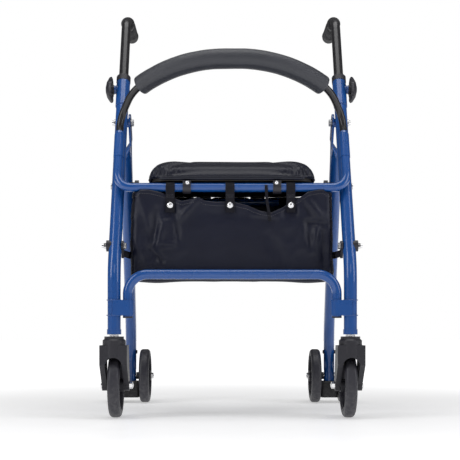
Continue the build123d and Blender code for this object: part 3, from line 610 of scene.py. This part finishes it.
lumps, lumps_in, lumps_out = new_group(
    "lumps_along_line",
    [
        ("Geometry", GEOMETRY, None), ("Spacing", NUMBER, 0.004), ("Length", NUMBER, 0.003),
        ("Thickness", NUMBER, 0.0006), ("Variation", NUMBER, 0.15), ("Seed", WHOLE, 7), ("Finish", MATERIAL, None),
    ],
    [("Geometry", GEOMETRY)],
    "GeometryNodeTree",
)
given = lumps_in.outputs
to_curve = add_node(lumps, "GeometryNodeMeshToCurve", {0: given["Geometry"]})
along_curve = {"Curve": to_curve.outputs[0], "Length": given["Spacing"]}
to_points = add_node(lumps, "GeometryNodeCurveToPoints", along_curve, mode="LENGTH")
ball = add_node(lumps, "GeometryNodeMeshUVSphere", {"Segments": 8, "Rings": 5, "Radius": 0.5})
thick = given["Thickness"]
sizes = add_node(lumps, "ShaderNodeCombineXYZ", {"X": thick, "Y": thick, "Z": given["Length"]})
# The Random Value node keeps its least number at input 2 and its number result at output 1.
least = reckon(lumps, "SUBTRACT", 1.0, given["Variation"])
chance = add_node(lumps, "FunctionNodeRandomValue", {2: least, "Seed": given["Seed"]}, data_type="FLOAT").outputs[1]
varied = add_node(lumps, "ShaderNodeVectorMath", {0: sizes.outputs[0], "Scale": chance}, operation="SCALE")
set_on = add_node(lumps, "GeometryNodeInstanceOnPoints", {
    "Points": to_points.outputs["Points"], "Instance": ball.outputs["Mesh"],
    "Rotation": to_points.outputs["Rotation"], "Scale": varied.outputs[0],
})
finish_tree(lumps, set_on.outputs[0], lumps_in, lumps_out)


def grow(tree, name, lines, **values):
    """Runs a tree on one or more lines and keeps the result as a plain mesh."""
    vertices, edges = [], []
    for line, closed in lines:
        first = len(vertices)
        vertices += [tuple(map(float, p)) for p in line]
        edges += [(i, i + 1) for i in range(first, len(vertices) - 1)]
        if closed:
            edges.append((len(vertices) - 1, first))
    mesh = bpy.data.meshes.new(name)
    mesh.from_pydata(vertices, edges, [])
    piece = bpy.data.objects.new(name, mesh)
    modifier = piece.modifiers.new("grow", "NODES")
    modifier.node_group = tree
    for item in tree.interface.items_tree:
        label = item.name.replace(" ", "_").lower()
        if item.item_type == "SOCKET" and item.in_out == "INPUT" and label in values:
            modifier[item.identifier] = values[label]
    bpy.context.scene.collection.objects.link(piece)
    graph = bpy.context.evaluated_depsgraph_get()
    grown = piece.evaluated_get(graph)
    made = bpy.data.meshes.new_from_object(grown, preserve_all_data_layers=True, depsgraph=graph)
    piece.modifiers.clear()
    piece.data = made
    print(name, len(made.polygons), "faces")
    return piece


def sew(name, lines, body, spacing=0.0042, length=0.0030, thickness=0.0008):
    stitches = grow(
        lumps, name, lines, spacing=spacing, length=length, thickness=thickness, variation=0.12, seed=3,
        finish=thread_finish,
    )
    if body:
        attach(stitches, body)
    return stitches


# %% [markdown]
# The seat pad is foam in a vinyl cover, pulled over a board. Foam pushes the cover out and the seams
# hold it in, which is just what cloth with pressure does. So a slightly small slab is remeshed, its
# underside is held, and twenty frames of cloth swell it. How far a point may move is capped.

# %% The seat pad's slab
pad_low, pad_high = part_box("seat_cushion")
board_low, board_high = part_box("seat_board")
pad_half = ((pad_high.x - pad_low.x) / 2, (pad_high.y - pad_low.y) / 2)
pad_middle = (pad_low.y + pad_high.y) / 2
pad_corner = 0.045
base_z, crown_z = pad_low.z, pad_high.z


def pad_outline(inset, corner_steps=12, side_steps=14):
    """A rounded rectangle with points along its sides too, going round once."""
    corner = max(0.004, pad_corner - inset)
    points = rounded_rectangle(pad_half[0] - inset, pad_half[1] - inset, corner, pad_middle, corner_steps)
    made = []
    for a, b in zip(points, points[1:]):
        far = math.hypot(b[0] - a[0], b[1] - a[1])
        steps = side_steps if far > 0.05 else 1
        made += [(a[0] + (b[0] - a[0]) * s / steps, a[1] + (b[1] - a[1]) * s / steps) for s in range(steps)]
    return made


def slab_between(levels):
    rings = [pad_outline(inset) for inset, _ in levels]
    count = len(rings[0])
    vertices = [(x, y, z) for ring, (_, z) in zip(rings, levels) for x, y in ring]
    faces = band_faces(len(levels), count)
    faces.append(tuple(reversed(range(count))))
    faces.append(tuple(range((len(levels) - 1) * count, len(levels) * count)))
    return vertices, faces


levels = [
    (0.006, base_z), (0.002, base_z + 0.002), (0.002, base_z + 0.010), (0.002, base_z + 0.022),
    (0.005, crown_z - 0.012), (0.012, crown_z - 0.006), (0.022, crown_z - 0.003),
]
pad_vertices, pad_faces = slab_between(levels)
seat_pad = link_piece("seat_pad", pad_vertices, pad_faces, finishes["vinyl"])
remesh = seat_pad.modifiers.new("even_mesh", "REMESH")
remesh.mode = "VOXEL"
remesh.voxel_size = 0.005
freeze(seat_pad)
print("seat pad starts with", len(seat_pad.data.vertices), "points")

# %% Swell the pad
start_points = points_of(seat_pad.data)
held = seat_pad.vertex_groups.new(name="held")
held.add([i for i, p in enumerate(start_points) if p[2] < base_z + 0.005], 1.0, "REPLACE")
cloth = seat_pad.modifiers.new("cover", "CLOTH")
cloth.settings.quality = 5
cloth.settings.use_pressure = True
cloth.settings.uniform_pressure_force = 4.0
cloth.settings.vertex_group_mass = "held"
cloth.settings.effector_weights.gravity = 0.0
for step in range(1, 21):
    bpy.context.scene.frame_set(step)
freeze(seat_pad)
bpy.context.scene.frame_set(1)
seat_pad.vertex_groups.clear()

moved = points_of(seat_pad.data) - start_points
reach = np.linalg.norm(moved, axis=1)
cap = 0.007
moved *= (np.minimum(reach, cap) / np.maximum(reach, 1e-9))[:, None]
put_points(seat_pad.data, start_points + moved)
subdivide = seat_pad.modifiers.new("finer", "SUBSURF")
subdivide.levels = 1
subdivide.render_levels = 1
freeze(seat_pad)
print("the cover moved up to", round(float(reach.max()) * 1000, 1), "mm, capped at", cap * 1000)

# %% [markdown]
# Where the cover goes round a corner it has spare cloth, and the seam gathers it into small pleats.
# They stand across the seam, strongest at the corner, and fade along the sides. The height of each
# point is changed in code, as a sculptor would with a pinch brush.

# %% Gather the corners and flatten the underside
def along_corner(x, y):
    """Distance along the edge from the middle of the nearest corner."""
    dx = np.abs(x) - (pad_half[0] - pad_corner)
    dy = np.abs(y - pad_middle) - (pad_half[1] - pad_corner)
    round_part = pad_corner * (np.arctan2(np.maximum(dy, 1e-6), np.maximum(dx, 1e-6)) - math.pi / 4)
    quarter = pad_corner * math.pi / 4
    on_side = -quarter + np.minimum(dy, 0)
    on_front = quarter - np.minimum(dx, 0)
    return np.where((dx > 0) & (dy > 0), round_part, np.where(dx > dy, on_side, on_front))


p = points_of(seat_pad.data)
s = along_corner(p[:, 0], p[:, 1])
fade = np.exp(-((s - 0.018) / 0.048) ** 2)
band = smooth_step(base_z + 0.008, base_z + 0.013, p[:, 2])
band *= 1 - smooth_step(crown_z - 0.014, crown_z - 0.004, p[:, 2])
jitter = np.array([noise.noise(Vector((x * 30, y * 30, z * 40))) for x, y, z in p])
pleat = np.sin(2 * math.pi * s / 0.0105 + 2.2 * jitter)
outward = np.stack([p[:, 0] / pad_half[0] ** 2, (p[:, 1] - pad_middle) / pad_half[1] ** 2, p[:, 2] * 0], axis=1)
outward /= np.maximum(np.linalg.norm(outward, axis=1), 1e-9)[:, None]
p += outward * (0.0016 * pleat * fade * band)[:, None]
seam_z = base_z + 0.0068
pinch = np.exp(-((p[:, 2] - seam_z) / 0.0018) ** 2)
p -= outward * (0.0016 * pinch)[:, None]
slow = np.array([noise.noise(Vector((x * 9, y * 9, 4.0))) for x, y, z in p])
p[:, 2] += 0.0012 * slow * smooth_step(crown_z - 0.012, crown_z - 0.004, p[:, 2])
p[:, 2] = np.clip(p[:, 2], base_z, crown_z + 0.0035)
p[:, 0] = np.clip(p[:, 0], pad_low.x - 0.002, pad_high.x + 0.002)
p[:, 1] = np.clip(p[:, 1], pad_low.y - 0.003, pad_high.y + 0.003)
inside_board = (p[:, 2] < board_high.z) & (np.abs(p[:, 0]) < board_high.x - 0.001)
inside_board &= (p[:, 1] > board_low.y + 0.001) & (p[:, 1] < board_high.y - 0.001)
p[inside_board, 2] = board_high.z
put_points(seat_pad.data, p)
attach(seat_pad, "seat")
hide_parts("seat_cushion")
print("seat pad", len(seat_pad.data.polygons), "faces, top at", round(float(p[:, 2].max()), 4))

# %% [markdown]
# A welt closes the lower seam: a thin cord sewn into a vinyl tube. It has to lie on the swollen pad,
# so its path is found by casting rays at the pad from outside. The stitches above it are found the
# same way, a little higher up.

# %% Welt and stitches of the pad
pad_tree = BVHTree.FromPolygons([tuple(q) for q in p], [tuple(f.vertices) for f in seat_pad.data.polygons])


def on_pad(z, out):
    """A closed line round the pad at height z, standing off its surface by out."""
    line = []
    for x, y in pad_outline(-0.03, corner_steps=24, side_steps=90):
        from_middle = Vector((x, y - pad_middle, 0))
        across = min(abs(from_middle.x), pad_half[0] - pad_corner)
        along = min(abs(from_middle.y), pad_half[1] - pad_corner)
        target = Vector((math.copysign(across, x), pad_middle + math.copysign(along, from_middle.y), z))
        start = Vector((x, y, z))
        hit, normal, _, _ = pad_tree.ray_cast(start, (target - start).normalized(), 0.2)
        if hit:
            flat = Vector((normal.x, normal.y, 0)).normalized()
            line.append(hit + flat * out)
    return line


def closed_cord(name, line, thickness, finish, sides=8):
    """A round cord along a closed line."""
    line = even_steps(line + [line[0]], 0.003)[:-1]
    count = len(line)
    vertices, uv = [], []
    for i in range(count):
        ahead = Vector(line[(i + 1) % count] - line[i - 1]).normalized()
        side = ahead.cross(Vector((0, 0, 1))).normalized()
        up = side.cross(ahead)
        for k in range(sides):
            angle = 2 * math.pi * k / sides
            vertices.append(Vector(line[i]) + (side * math.cos(angle) + up * math.sin(angle)) * thickness / 2)
            uv.append((i * 0.003, k / sides * thickness * 3))
    piece = link_piece(name, vertices, band_faces(count, sides, closed=True), finish, uv)
    face_outward(piece)
    return piece


seat_welt = closed_cord("seat_welt", on_pad(seam_z, 0.0004), 0.0026, finishes["vinyl"])
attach(seat_welt, "seat")
sew("seat_stitches", [(on_pad(seam_z + 0.0042, 0.0001), True)], "seat", thickness=0.0007)

# %% [markdown]
# The back rest's foam is a thick sleeve pushed over the bent tube. It isn't a perfect pipe: its cut
# ends are rounded over, it is a little slack along its length, and a glued slit runs along the back.
# A ring of points is swept along the tube's line, and each ring gets its own radius.

# %% Back rest foam
foam_line = [(0.18896, -0.15718, 0.66867), (0.110, -0.19414, 0.71655)]
foam_line += [(-x, y, z) for x, y, z in reversed(foam_line)]
foam_path = even_steps(rounded_run(foam_line, 0.285, step=0.003), 0.0025)
foam_run = np.linspace(0, 1, len(foam_path))
foam_length = 0.0025 * (len(foam_path) - 1)
from_end = np.minimum(foam_run, 1 - foam_run) * foam_length
end_round = np.sqrt(np.clip(1 - (1 - np.minimum(from_end / 0.007, 1)) ** 2, 0.0, 1))
foam_radius = 0.0200 * (0.72 + 0.28 * end_round)
foam_radius *= 1 + 0.012 * np.array([noise.noise(Vector((t * 9, 2.0, 0))) for t in foam_run])
sides = 48
foam_vertices, foam_faces, foam_uv = swept(foam_path, list(foam_radius), sides)
shaped = []
for i, v in enumerate(foam_vertices):
    centre = Vector(foam_path[i // sides])
    angle = 2 * math.pi * (i % sides) / sides
    slit = math.exp(-(((angle - 1.5 * math.pi + 0.5) / 0.09) ** 2))
    dent = noise.noise(Vector(v) * 26.0) * 0.022 + noise.noise(Vector(v) * 70.0) * 0.008
    shaped.append(centre + (v - centre) * (1 + dent - 0.06 * slit))
back_foam = link_piece("back_foam", shaped, foam_faces, finishes["foam"], foam_uv)
face_outward(back_foam)
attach(back_foam, "front_frame")
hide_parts("backrest_foam")
print("foam", round(foam_length, 3), "m long")

# %% [markdown]
# The bag hangs from three short straps at the front and three at the back, so its mouth sags between
# them and its corners are pulled up. It is one shell: an outline that goes round once, raised in rows
# from the floor of the bag to a rim of changing height. Then it bulges, and creases are pushed in.

# %% The bag's outline and rim
bag_low, bag_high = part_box("bag")
bag_x = bag_high.x
bag_mid_y = (bag_low.y + bag_high.y) / 2
bag_half_y = (bag_high.y - bag_low.y) / 2
bag_corner = 0.014
strap_places = (-0.123, -0.004, 0.117)


column_step = 0.0042
bag_ring = [(x, y, 0.0) for x, y in rounded_rectangle(bag_x, bag_half_y, bag_corner, bag_mid_y, 6)]
full_ring = even_steps(bag_ring, column_step)[:-1]
columns = len(full_ring)
front_rim = np.array([
    (-0.200, 0.4520), (-0.165, 0.4520), (-0.140, 0.4460), (-0.123, 0.4380), (-0.100, 0.4290), (-0.066, 0.4370),
    (-0.055, 0.4300), (-0.030, 0.4275), (-0.004, 0.4290), (0.030, 0.4210), (0.055, 0.4100), (0.078, 0.4065),
    (0.100, 0.4160), (0.117, 0.4285), (0.132, 0.4340), (0.152, 0.4480), (0.172, 0.4520), (0.200, 0.4520),
])


def rim_height(x, y):
    front = np.interp(x, front_rim[:, 0], front_rim[:, 1])
    beside_pad = math.exp(-(((abs(x) - 0.060) / 0.0195) ** 6))
    back = 0.4703 - 0.005 * beside_pad
    share = (y - bag_low.y) / (bag_high.y - bag_low.y)
    under_tube = min(front, 0.4465) if share > 0.001 else front
    side = under_tube + (back - under_tube) * float(smooth_step(0.10, 0.30, share))
    return float(side - 0.004 * math.sin(math.pi * min(1, max(0, share))))


def floor_height(y):
    """The bag's floor rises to the back, where the load leans against the rear panel."""
    return bag_low.z - 0.0005 + 0.017 * (y - bag_low.y) / (bag_high.y - bag_low.y)


print("bag outline has", columns, "columns")

# %% Raise the shell
rows = 44
crease_lines = [
    (-0.066, 0.436, -0.103, 0.392, 0.006, 2.6), (-0.150, 0.412, -0.157, 0.350, 0.007, -3.2),
    (-0.135, 0.385, -0.150, 0.330, 0.008, 3.0), (-0.112, 0.395, -0.106, 0.345, 0.006, -2.6),
    (-0.106, 0.345, -0.150, 0.342, 0.005, 2.2), (-0.160, 0.335, -0.138, 0.308, 0.006, -3.2),
    (-0.150, 0.315, -0.168, 0.290, 0.006, 2.4), (-0.182, 0.440, -0.165, 0.380, 0.008, 2.4),
    (0.137, 0.430, 0.160, 0.400, 0.006, -3.0), (0.152, 0.425, 0.175, 0.395, 0.010, 3.6),
    (0.152, 0.388, 0.182, 0.384, 0.005, -2.8), (0.150, 0.385, 0.158, 0.335, 0.006, -2.6),
    (0.170, 0.380, 0.160, 0.330, 0.006, 2.8), (0.075, 0.360, 0.108, 0.288, 0.012, -2.2),
    (0.180, 0.370, 0.184, 0.300, 0.006, -2.6), (0.040, 0.402, 0.092, 0.398, 0.004, 1.8),
    (-0.060, 0.405, 0.030, 0.398, 0.010, -1.4), (-0.170, 0.300, -0.190, 0.350, 0.008, 2.0),
]


def crease(x, z):
    total = 0.0
    for x1, z1, x2, z2, width, height in crease_lines:
        dx, dz = x2 - x1, z2 - z1
        t = min(1, max(0, ((x - x1) * dx + (z - z1) * dz) / (dx * dx + dz * dz)))
        off = math.hypot(x - x1 - dx * t, z - z1 - dz * t)
        bend = 0.35 * width * noise.noise(Vector((x * 60, z * 60, 0)))
        along = 0.35 + 0.65 * math.sin(math.pi * (0.15 + 0.7 * t))
        total += height * 0.0021 * math.exp(-(((off + bend) / width) ** 2)) * along
    return total


def slack(point):
    """Soft folds that cloth has everywhere: sharp along their tops and wide between."""
    ridge = 1 - abs(noise.noise(point * 14.0)) * 2.4
    small = 1 - abs(noise.noise(point * 31.0 + Vector((3, 1, 7)))) * 2.2
    return 0.0018 * ridge + 0.0011 * small


def quiet_near_straps(x, z):
    """Cloth lies flat where a strap's tail is snapped to it."""
    nearest = min(abs(x - place) for place in strap_places)
    return 1 - math.exp(-((nearest / 0.016) ** 4)) * float(smooth_step(0.385, 0.405, z))


shell_vertices, shell_uv = [], []
runs = np.arange(columns) * column_step
for r in range(rows + 1):
    v = r / rows
    for c in range(columns):
        x, y, _ = full_ring[c]
        top = rim_height(x, y)
        bottom = floor_height(y) - 0.003 * math.exp(-(((abs(x) - 0.150) / 0.035) ** 2)) * (y < bag_mid_y)
        z = bottom + (top - bottom) * v
        before, after = full_ring[c - 1], full_ring[(c + 1) % columns]
        out = Vector((after[1] - before[1], before[0] - after[0], 0)).normalized()
        belly = math.sin(math.pi * min(1, v * 1.02)) ** 0.8
        front_share = max(0.0, -out.y)
        amount = 0.0035 * belly * (0.4 + 0.6 * abs(out.y)) + 0.0036 * abs(out.x) * (1 - v)
        loose = 0.35 + 0.65 * (1 - front_share * (abs(x) < 0.09))
        folds = crease(x, z) * front_share + slack(Vector((x, y, z))) * loose
        folds *= min(1, v * 9)
        quiet = quiet_near_straps(x, z) if abs(out.y) > 0.5 else 1.0
        hem = 0.0007 * (z > top - 0.0095)
        amount = (amount + folds) * quiet + hem - 0.0016 * (1 - quiet)
        foot = 0.010 * max(0.0, 1 - v * rows / 3) ** 2
        shell_vertices.append(Vector((x, y, z)) + out * (amount - foot))
        shell_uv.append((runs[c], z))
shell_faces = band_faces(rows + 1, columns)
print("bag wall", len(shell_faces), "faces")

# %% Close the bottom and give the cloth its thickness
floor_rings = 14
first_ring = [Vector(v) for v in shell_vertices[:columns]]
previous = list(range(columns))
for ring_number in range(1, floor_rings + 1):
    share = ring_number / (floor_rings + 1)
    this_ring = []
    for c in range(columns):
        edge = first_ring[c]
        core = Vector((max(-1, min(1, edge.x / 0.19)) * 0.075, bag_mid_y, edge.z))
        spot = edge.lerp(core, share)
        sag = 0.002 * smooth_step(0.0, 0.5, share)
        spot.z = floor_height(spot.y) - sag + 0.4 * slack(Vector((spot.x, spot.y, 0)))
        this_ring.append(len(shell_vertices))
        shell_vertices.append(spot)
        shell_uv.append((spot.x, spot.y + 1.0))
    for c in range(columns):
        d = (c + 1) % columns
        shell_faces.append((this_ring[c], this_ring[d], previous[d], previous[c]))
    previous = this_ring
shell_faces.append(tuple(previous))
bag_shell = link_piece("cloth_bag", shell_vertices, shell_faces, finishes["cloth"], shell_uv)
front_face = next(f for f in bag_shell.data.polygons if f.center.y < bag_low.y + 0.01 and f.center.z > 0.33)
if front_face.normal.y > 0:
    bag_shell.data.flip_normals()
wall = bag_shell.modifiers.new("cloth_thickness", "SOLIDIFY")
wall.thickness = 0.0014
wall.offset = -1.0
freeze(bag_shell)
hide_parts("bag")
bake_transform(bag_shell)
print("cloth bag", len(bag_shell.data.polygons), "faces")

# %% [markdown]
# The bag's seams: a row of stitches under the rim's hem, and a bound edge down each front corner. The hem's stitches
# cross the fold of the frame, so, like the bag, they are fixed to no one body.

# %% Hem stitches and corner binding
def on_bag(row_offset, out_by):
    line = []
    for c in range(columns):
        spot = shell_vertices[rows * columns + c]
        lower = shell_vertices[(rows - 3) * columns + c]
        before, after = full_ring[c - 1], full_ring[(c + 1) % columns]
        out = Vector((after[1] - before[1], before[0] - after[0], 0)).normalized()
        point = Vector((lower.x, lower.y, spot.z - row_offset))
        line.append(point + out * out_by)
    return line


hem_line = on_bag(0.0080, 0.0005)
hem_stitches = sew("hem_stitches", [(hem_line, True)], None, spacing=0.0045, length=0.0032, thickness=0.0009)
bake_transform(hem_stitches)


def binding(name, side):
    """Folded tape down one front corner of the bag."""
    corner_x, corner_y = side * (bag_x - 0.003), bag_low.y + 0.003
    column = min(range(columns), key=lambda c: abs(full_ring[c][0] - corner_x) + abs(full_ring[c][1] - corner_y))
    line = [shell_vertices[r * columns + column] for r in range(1, rows + 1)]
    line = even_steps(line, 0.003)
    radii = [0.0026 + 0.0003 * math.sin(i * 1.7) for i in range(len(line))]
    vertices, faces, uv = swept(line, radii, 10)
    piece = link_piece(name, vertices, faces, finishes["webbing"], uv)
    face_outward(piece)
    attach(piece, "front_frame")
    return piece


for label, side in (("left", 1), ("right", -1)):
    binding("corner_binding_" + label, side)

# %% [markdown]
# Webbing straps wrap the seat tubes. A strap is a ribbon: a path, a width and a thickness. The ribbon
# is drawn as a closed band with slightly thick edges, so that light catches its selvage.

# %% Straps
def ribbon(name, path, width, thickness, body, across=Vector((1, 0, 0)), finish="webbing"):
    path = even_steps(path, 0.0016)
    profile = [(-0.5, 0.0), (-0.47, 0.62), (-0.40, 0.5), (0.40, 0.5), (0.47, 0.62), (0.5, 0.0)]
    profile += [(0.47, -0.62), (0.40, -0.5), (-0.40, -0.5), (-0.47, -0.62)]
    n = len(profile)
    vertices, uv, run = [], [], 0.0
    for i, point in enumerate(path):
        ahead = Vector(path[min(i + 1, len(path) - 1)] - path[max(i - 1, 0)]).normalized()
        up = ahead.cross(across).normalized()
        run += float(np.linalg.norm(point - path[i - 1])) if i else 0.0
        for u, w in profile:
            vertices.append(Vector(point) + across * (u * width) + up * (w * thickness))
            uv.append((u * width, run))
    faces = band_faces(len(path), n) + end_faces(len(path), n)
    piece = link_piece(name, vertices, faces, finishes[finish], uv)
    face_outward(piece)
    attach(piece, body)
    return piece


front_tube_low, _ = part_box("front_seat_tube")
rear_strap_low, rear_strap_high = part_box("bag_rear_straps")
tube_radius = 0.009
webbing = 0.0012
tube_z = rear_strap_high.z - tube_radius - webbing
front_tube_y = front_tube_low.y + tube_radius
rear_tube_y = rear_strap_high.y - webbing - tube_radius
tail_z = rear_strap_low.z


def strap_path(x, tube_y, facing):
    """From the tail's tip up the bag, over the tube and back under it."""
    wrap = tube_radius + 0.0008
    outside = tube_y + facing * (wrap + 0.0006)
    path = [(x, outside + facing * 0.0012, tail_z - 0.003), (x, outside + facing * 0.0008, tail_z + 0.008)]
    path.append((x, outside, tube_z - 0.010))
    for degrees_round in range(0, 300, 12):
        angle = math.radians(degrees_round)
        path.append((x, tube_y + facing * wrap * math.cos(angle), tube_z + wrap * math.sin(angle)))
    return path


sewn_lines = {"front": [], "rear": []}
for place_number, x in enumerate(strap_places):
    ends = (("front", front_tube_y, -1, "front_frame"), ("rear", rear_tube_y, 1, "rear_frame"))
    for end, tube_y, facing, body in ends:
        piece = ribbon(f"{end}_strap_{place_number + 1}", strap_path(x, tube_y, facing), 0.018, 0.0013, body)
        if place_number == 0:
            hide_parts("bag_front_straps" if end == "front" else "bag_rear_straps")
        face_y = tube_y + facing * (tube_radius + 0.0024)
        for row_z in (tube_z - 0.0165, tube_z - 0.0205):
            sewn_lines[end].append(([(x - 0.0070, face_y, row_z), (x + 0.0070, face_y, row_z)], False))
sew("front_strap_stitches", sewn_lines["front"], "front_frame", spacing=0.0022, length=0.0017, thickness=0.0007)
sew("rear_strap_stitches", sewn_lines["rear"], "rear_frame", spacing=0.0022, length=0.0017, thickness=0.0007)

# %% Side bands and a loose tape
anchor_low, anchor_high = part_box("strap_anchors")
for label, side in (("left", 1), ("right", -1)):
    bag_end = (side * (bag_x + 0.0010), front_tube_y + 0.0300, 0.3245)
    middle = (side * (bag_x + 0.0075), front_tube_y + 0.0010, 0.3220)
    leg_end = (side * (anchor_high.x - 0.0052), (anchor_low.y + anchor_high.y) / 2, 0.3230)
    ribbon("side_band_" + label, [bag_end, middle, leg_end], 0.014, 0.0012, "front_frame", across=Vector((0, 0, 1)))
tape = [
    (0.068, front_tube_y - 0.0098, tube_z + 0.004), (0.0685, front_tube_y - 0.0108, tube_z - 0.012),
    (0.070, front_tube_y - 0.0112, 0.425), (0.0735, front_tube_y - 0.0135, 0.405),
    (0.0750, front_tube_y - 0.0150, 0.388),
]
ribbon("loose_tape", tape, 0.006, 0.0008, "front_frame")

# %% [markdown]
# The snaps are pressed nickel caps. A turned part is drawn as half a section and spun round its axis.
# Doubles at the pole are merged and the normals recalculated, because a spin can leave both wrong.

# %% Snaps
def turned(name, section, centre, axis, finish, steps=32):
    """Spins a section of (distance along the axis, radius) pairs round an axis."""
    work = bmesh.new()
    axis = Vector(axis).normalized()
    side = axis.orthogonal().normalized()
    ring = [work.verts.new(Vector(centre) + axis * along + side * radius) for along, radius in section]
    edges = [work.edges.new(pair) for pair in zip(ring, ring[1:])]
    bmesh.ops.spin(work, geom=ring + edges, cent=Vector(centre), axis=axis, angle=2 * math.pi, steps=steps)
    bmesh.ops.remove_doubles(work, verts=work.verts[:], dist=0.00002)
    bmesh.ops.recalc_face_normals(work, faces=work.faces[:])
    mesh = bpy.data.meshes.new(name)
    work.to_mesh(mesh)
    work.free()
    mesh.materials.append(finishes[finish])
    mesh.polygons.foreach_set("use_smooth", [True] * len(mesh.polygons))
    piece = bpy.data.objects.new(name, mesh)
    bpy.context.scene.collection.objects.link(piece)
    return piece


snap_low, snap_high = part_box("bag_snaps")
snap_z = (snap_low.z + snap_high.z) / 2
snap_section = [
    (0.0, 0.0), (0.0, 0.0058), (0.0006, 0.0062), (0.0012, 0.0058), (0.0010, 0.0050), (0.0016, 0.0046),
    (0.0024, 0.0036), (0.0029, 0.0022), (0.0031, 0.0009), (0.0031, 0.0),
]
for place_number, x in enumerate(strap_places):
    cap_centre = (x, front_tube_y - 0.0115, snap_z)
    cap_piece = turned(f"snap_{place_number + 1}", snap_section, cap_centre, (0, -1, 0), "chrome")
    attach(cap_piece, "front_frame")
    if place_number == 0:
        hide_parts("bag_snaps")

# The same section, smaller, makes the screw heads of the two clips that hold the seat.
clip_low, clip_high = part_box("seat_clamps")
screw_section = [(along * 0.8, radius * 0.62) for along, radius in snap_section]
for label, side in (("left", 1), ("right", -1)):
    head_centre = (side * 0.0885, clip_low.y + 0.0004, clip_high.z - 0.0050)
    screw = turned("clamp_screw_" + label, screw_section, head_centre, (0, -1, 0), "chrome")
    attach(screw, "seat")
print("straps and snaps at", strap_places)

# %% [markdown]
# Welds join the receivers, bosses and cross tube to the legs. A weld is a row of overlapping drops,
# which is the lumps tree again with the drops longer than their spacing. It is painted with the frame.

# %% Weld beads
lean = math.radians(26.0)
along_leg = Vector((0, math.sin(lean), math.cos(lean)))
leg_x, stem_y, bend_z = 0.230, -0.255, 0.294


def leg_point(side, run):
    """A point on a front leg's axis, run above its bend."""
    return Vector((side * leg_x, stem_y + run * math.sin(lean), bend_z + run * math.cos(lean)))


def circle(centre, axis, radius, count=40):
    axis = Vector(axis).normalized()
    u = axis.orthogonal().normalized()
    w = axis.cross(u)
    angles = [2 * math.pi * k / count for k in range(count)]
    return [Vector(centre) + (u * math.cos(angle) + w * math.sin(angle)) * radius for angle in angles]


weld_lines = []
for side in (1, -1):
    weld_lines.append((circle(leg_point(side, 0.3885), along_leg, 0.0132), True))
    weld_lines.append((circle(leg_point(side, 0.433) + Vector((side * 0.0137, 0, 0)), (1, 0, 0), 0.0090), True))
    for z in (0.2012, 0.2308):
        weld_lines.append((circle((side * leg_x, stem_y, z), (0, 0, 1), 0.0140), True))
welds = grow(
    lumps, "weld_beads", weld_lines, spacing=0.0021, length=0.0038, thickness=0.0023, variation=0.25, seed=11,
    finish=finishes["blue_paint"],
)
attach(welds, "front_frame")

# %% [markdown]
# Moulded rings: tyres come out of their mould with fine ribs on the side walls, and grips with ribs
# for the fingers. A second tree puts one ring at each point of a list, turned to the part's axis.

# %% Geometry Nodes: rings at points
rings, rings_in, rings_out = new_group(
    "rings_at_points",
    [
        ("Geometry", GEOMETRY, None), ("Ring Radius", NUMBER, 0.05), ("Thickness", NUMBER, 0.001),
        ("Turn", VECTOR, (0, 0, 0)), ("Finish", MATERIAL, None),
    ],
    [("Geometry", GEOMETRY)],
    "GeometryNodeTree",
)
given = rings_in.outputs
half_thick = reckon(rings, "MULTIPLY", given["Thickness"], 0.5)
hoop = add_node(rings, "GeometryNodeCurvePrimitiveCircle", {"Resolution": 64, "Radius": given["Ring Radius"]})
section = add_node(rings, "GeometryNodeCurvePrimitiveCircle", {"Resolution": 6, "Radius": half_thick})
solid = add_node(rings, "GeometryNodeCurveToMesh", {"Curve": hoop.outputs[0], "Profile Curve": section.outputs[0]})
ring_points = add_node(rings, "GeometryNodeMeshToPoints", {0: given["Geometry"]})
turn_to = add_node(rings, "FunctionNodeEulerToRotation", {0: given["Turn"]})
put = add_node(rings, "GeometryNodeInstanceOnPoints", {
    "Points": ring_points.outputs[0], "Instance": solid.outputs[0], "Rotation": turn_to.outputs[0],
})
finish_tree(rings, put.outputs[0], rings_in, rings_out)

# %% Ribs on the tyres and grips
wheel_bodies = {}
for body, empty in frame["bodies"].items():
    for child in empty.children:
        if "tyre" in child.name:
            wheel_bodies[body] = child.name
for body, node in wheel_bodies.items():
    low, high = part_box(node)
    centre = (low + high) / 2
    half_width = (high.x - low.x) / 2
    for rib_number, radius in enumerate((0.0535, 0.0505)):
        spots = [([(centre.x + s * half_width, centre.y, centre.z)], False) for s in (-1, 1)]
        ribs = grow(
            rings, f"rib_{rib_number + 1}_{node}", spots, ring_radius=radius, thickness=0.0009,
            turn=(0, math.pi / 2, 0), finish=finishes["tyre"],
        )
        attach(ribs, body)
for label, side in (("left", 1), ("right", -1)):
    low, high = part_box("grip_" + label)
    centre = (low + high) / 2
    spots = [([(centre.x, low.y + 0.022 + 0.0075 * k, centre.z)], False) for k in range(9)]
    ribs = grow(
        rings, "grip_ribs_" + label, spots, ring_radius=0.0139, thickness=0.0030,
        turn=(math.pi / 2, 0, 0), finish=finishes["rubber"],
    )
    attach(ribs, "handle_" + label)
